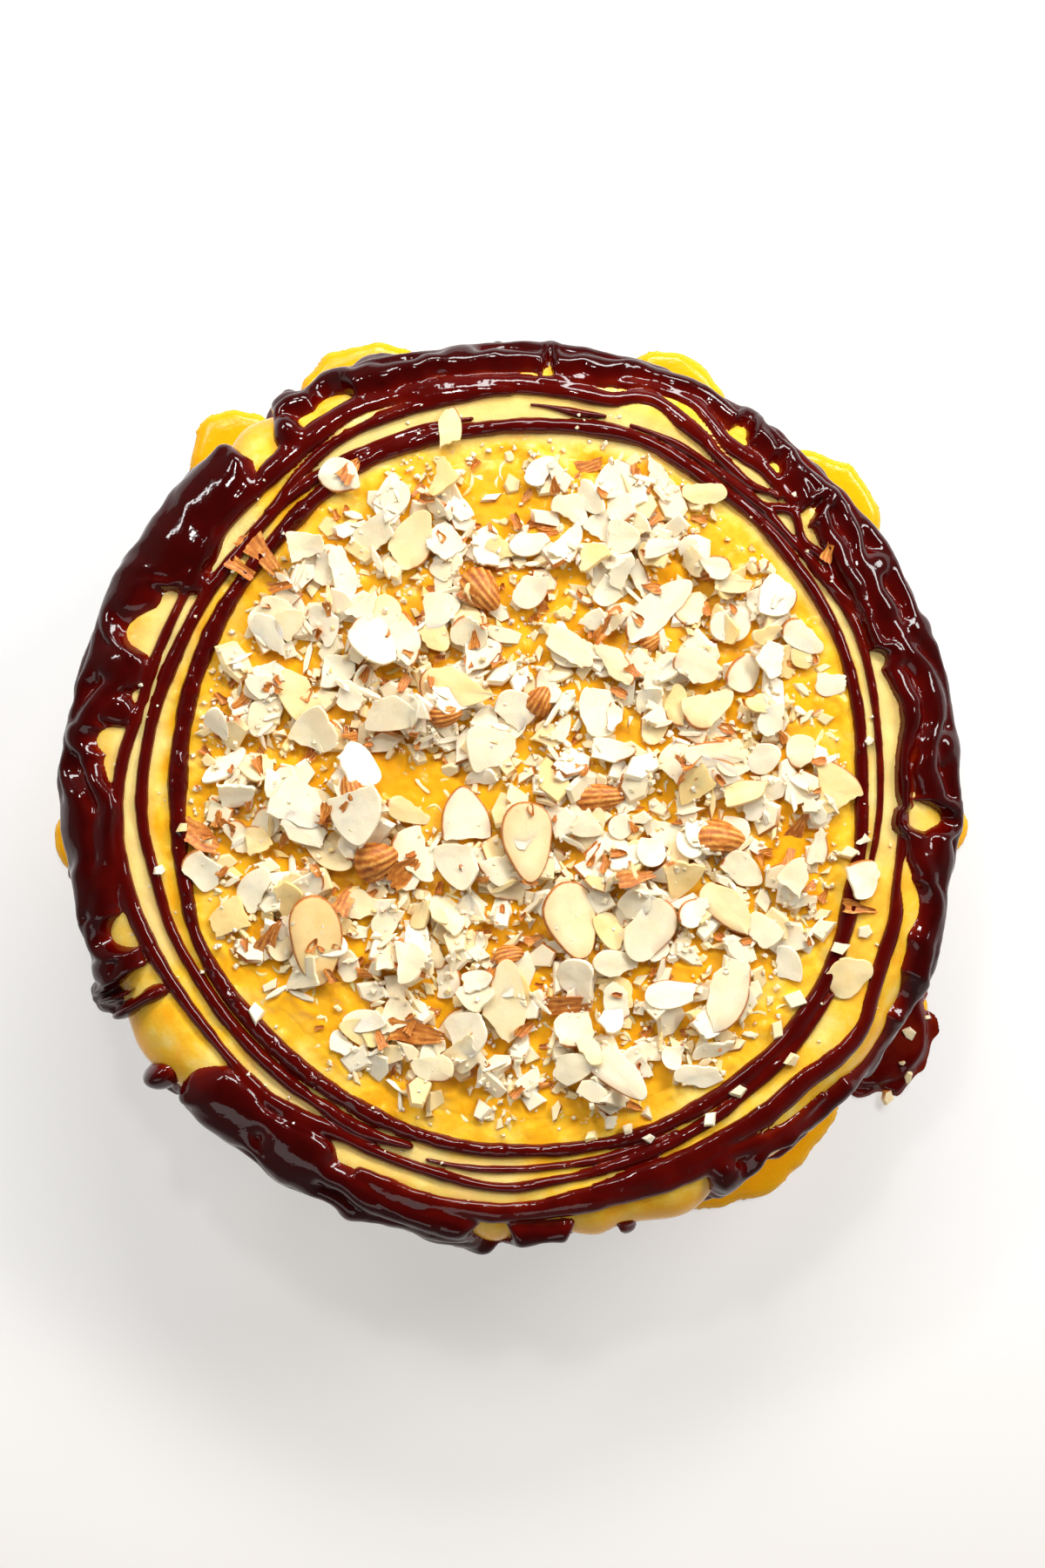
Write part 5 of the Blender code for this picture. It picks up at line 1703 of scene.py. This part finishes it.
def make_cheesecake(material):
    """Chocolate cheesecake under the custard; only its side shows."""
    low = CRUST_TOP + 0.3
    steps = 8
    profile = [(0.0, CAKE_TOP), (60.0, CAKE_TOP), (FLAT, CAKE_TOP)]
    for step in range(1, steps + 1):
        turn = 0.5 * math.pi * step / steps
        drop = CAKE_EDGE * (1.0 - math.cos(turn))
        profile.append((FLAT + CAKE_EDGE * math.sin(turn), CAKE_TOP - drop))
    profile += [(CAKE_RADIUS, height) for height in np.arange(CAKE_TOP - CAKE_EDGE - 0.8, low, -0.8)]
    profile += [(CAKE_RADIUS - 0.4, low), (60.0, low), (0.0, low)]

    def relief(points):
        soft = 0.35 * bumps(points, 14.0, 80) + 0.22 * bumps(points, 4.0, 81)
        pits = -0.45 * np.maximum(0.0, bumps(points, 1.8, 82) - 0.25)
        return (soft + pits) * (points[..., 2] < CAKE_TOP - 1.0)

    made = turned_solid("cheesecake_side", profile, SIDE_TURNS, relief, material)
    return carried(made, "cheesecake_side", "cheesecake")


def make_crust(material):
    """Pressed crumb crust, whose side is rough with crumbs."""
    heights = np.arange(CRUST_TOP - 0.5, 0.3, -0.55)
    profile = [(0.0, CRUST_TOP), (60.0, CRUST_TOP), (CAKE_RADIUS - 0.6, CRUST_TOP)]
    profile += [(CAKE_RADIUS, height) for height in heights]
    profile += [(CAKE_RADIUS - 0.5, 0.0), (60.0, 0.0), (0.0, 0.0)]

    def relief(points):
        crumbs = 0.75 * abs(bumps(points, 2.4, 90)) + 0.35 * bumps(points, 1.1, 91)
        return (crumbs + 0.3 * bumps(points, 9.0, 92)) * (np.hypot(points[..., 0], points[..., 1]) > FLAT)

    made = turned_solid("crumb_crust", profile, CRUST_TURNS, relief, material)
    return carried(made, "crumb_crust", "crust")


def make_camera():
    """Looks straight down, and shows the cake in the place and the size that it has in the photograph."""
    wide, tall = IMAGE
    cake_x, cake_y = CAKE_PIXEL
    data = bpy.data.cameras.new("camera")
    data.sensor_width = SENSOR
    data.lens = SENSOR * (CAMERA_HEIGHT - PIXEL_LEVEL) / (tall * PIXEL)
    made = bpy.data.objects.new("camera", data)
    x, y = (0.5 * wide - cake_x) * PIXEL, (cake_y - 0.5 * tall) * PIXEL
    made.location = Vector((x, y, CAMERA_HEIGHT)) * MM
    bpy.context.scene.collection.objects.link(made)
    bpy.context.scene.camera = made


def make_light(name, turn, elevation, size, glow):
    """Rectangular light that faces the cake from a direction and an elevation."""
    data = bpy.data.lights.new(name, "AREA")
    data.shape = "RECTANGLE"
    data.size, data.size_y = size
    data.energy = glow * math.pi * size[0] * size[1]
    made = bpy.data.objects.new(name, data)
    turn, elevation = math.radians(turn), math.radians(elevation)
    level = math.cos(elevation)
    towards = Vector((level * math.cos(turn), level * math.sin(turn), math.sin(elevation)))
    made.location = towards * LIGHT_DISTANCE
    made.rotation_euler = (-made.location).to_track_quat("-Z", "Y").to_euler()
    bpy.context.scene.collection.objects.link(made)


def make_world():
    """Soft and even, darker overhead, which keeps the ganache deep."""
    world = bpy.data.worlds.new("studio")
    world.use_nodes = True
    bpy.context.scene.world = world
    tree = world.node_tree
    place = graph_node(tree, "ShaderNodeTexCoord").outputs["Generated"]
    height = graph_node(tree, "ShaderNodeSeparateXYZ", {0: place}).outputs["Z"]
    sky = ramp(tree, height, (0.0, grey(0.26)), (0.4, grey(0.22)), (0.85, grey(0.06)))
    tree.links.new(sky, tree.nodes["Background"].inputs["Color"])
    tree.nodes["Background"].inputs["Strength"].default_value = 1.0


def make_floor():
    """Plain floor that glows like a light table, with painted shade: a little less and warmer towards the
    south.
    """
    made, tree, shader = finish("table", Roughness=0.5, Emission_Strength=1.0)
    place = place_value(tree)
    north = graph_node(tree, "ShaderNodeSeparateXYZ", {0: place}).outputs["Y"]
    cloudy = calculated(tree, "MULTIPLY", noise_value(tree, 3.0, 4.0), 0.04)
    share = calculated(tree, "ADD", calculated(tree, "ADD", north, 0.5), cloudy)
    # Painted shade: the floor's colour and glow fall off and warm towards the south
    south, middle, north_end = (0.395, 0.37, 0.34), (0.47, 0.461, 0.45), (0.475, 0.475, 0.474)
    tone = ramp(tree, share, (0.22, south), (0.40, middle), (0.58, north_end))
    tree.links.new(tone, shader.inputs["Base Color"])
    tree.links.new(tone, shader.inputs["Emission Color"])
    half = FLOOR_HALF
    points = [(x, y, FLOOR_LEVEL) for x, y in ((-half, -half), (half, -half), (half, half), (-half, half))]
    new_object("table", points, [(0, 1, 2, 3)], made)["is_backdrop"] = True


def main():
    custard = custard_material()
    make_custard(custard)
    sheet, ganache_top = make_ganache(ganache_material())
    make_bed(custard)
    make_cheesecake(side_material())
    make_crust(crust_material())
    ground = Ground(sheet, ganache_top)
    make_shreds(ground, shred_material())
    make_almonds(ground, almond_material(), skin_material())
    make_floor()
    make_camera()
    for light in LIGHTS:
        make_light(*light)
    make_world()
    bpy.context.scene.view_settings.view_transform = "Standard"


main()
[[list(map(float, corner)) for corner in box] for box in (CAD_BOX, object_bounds())]
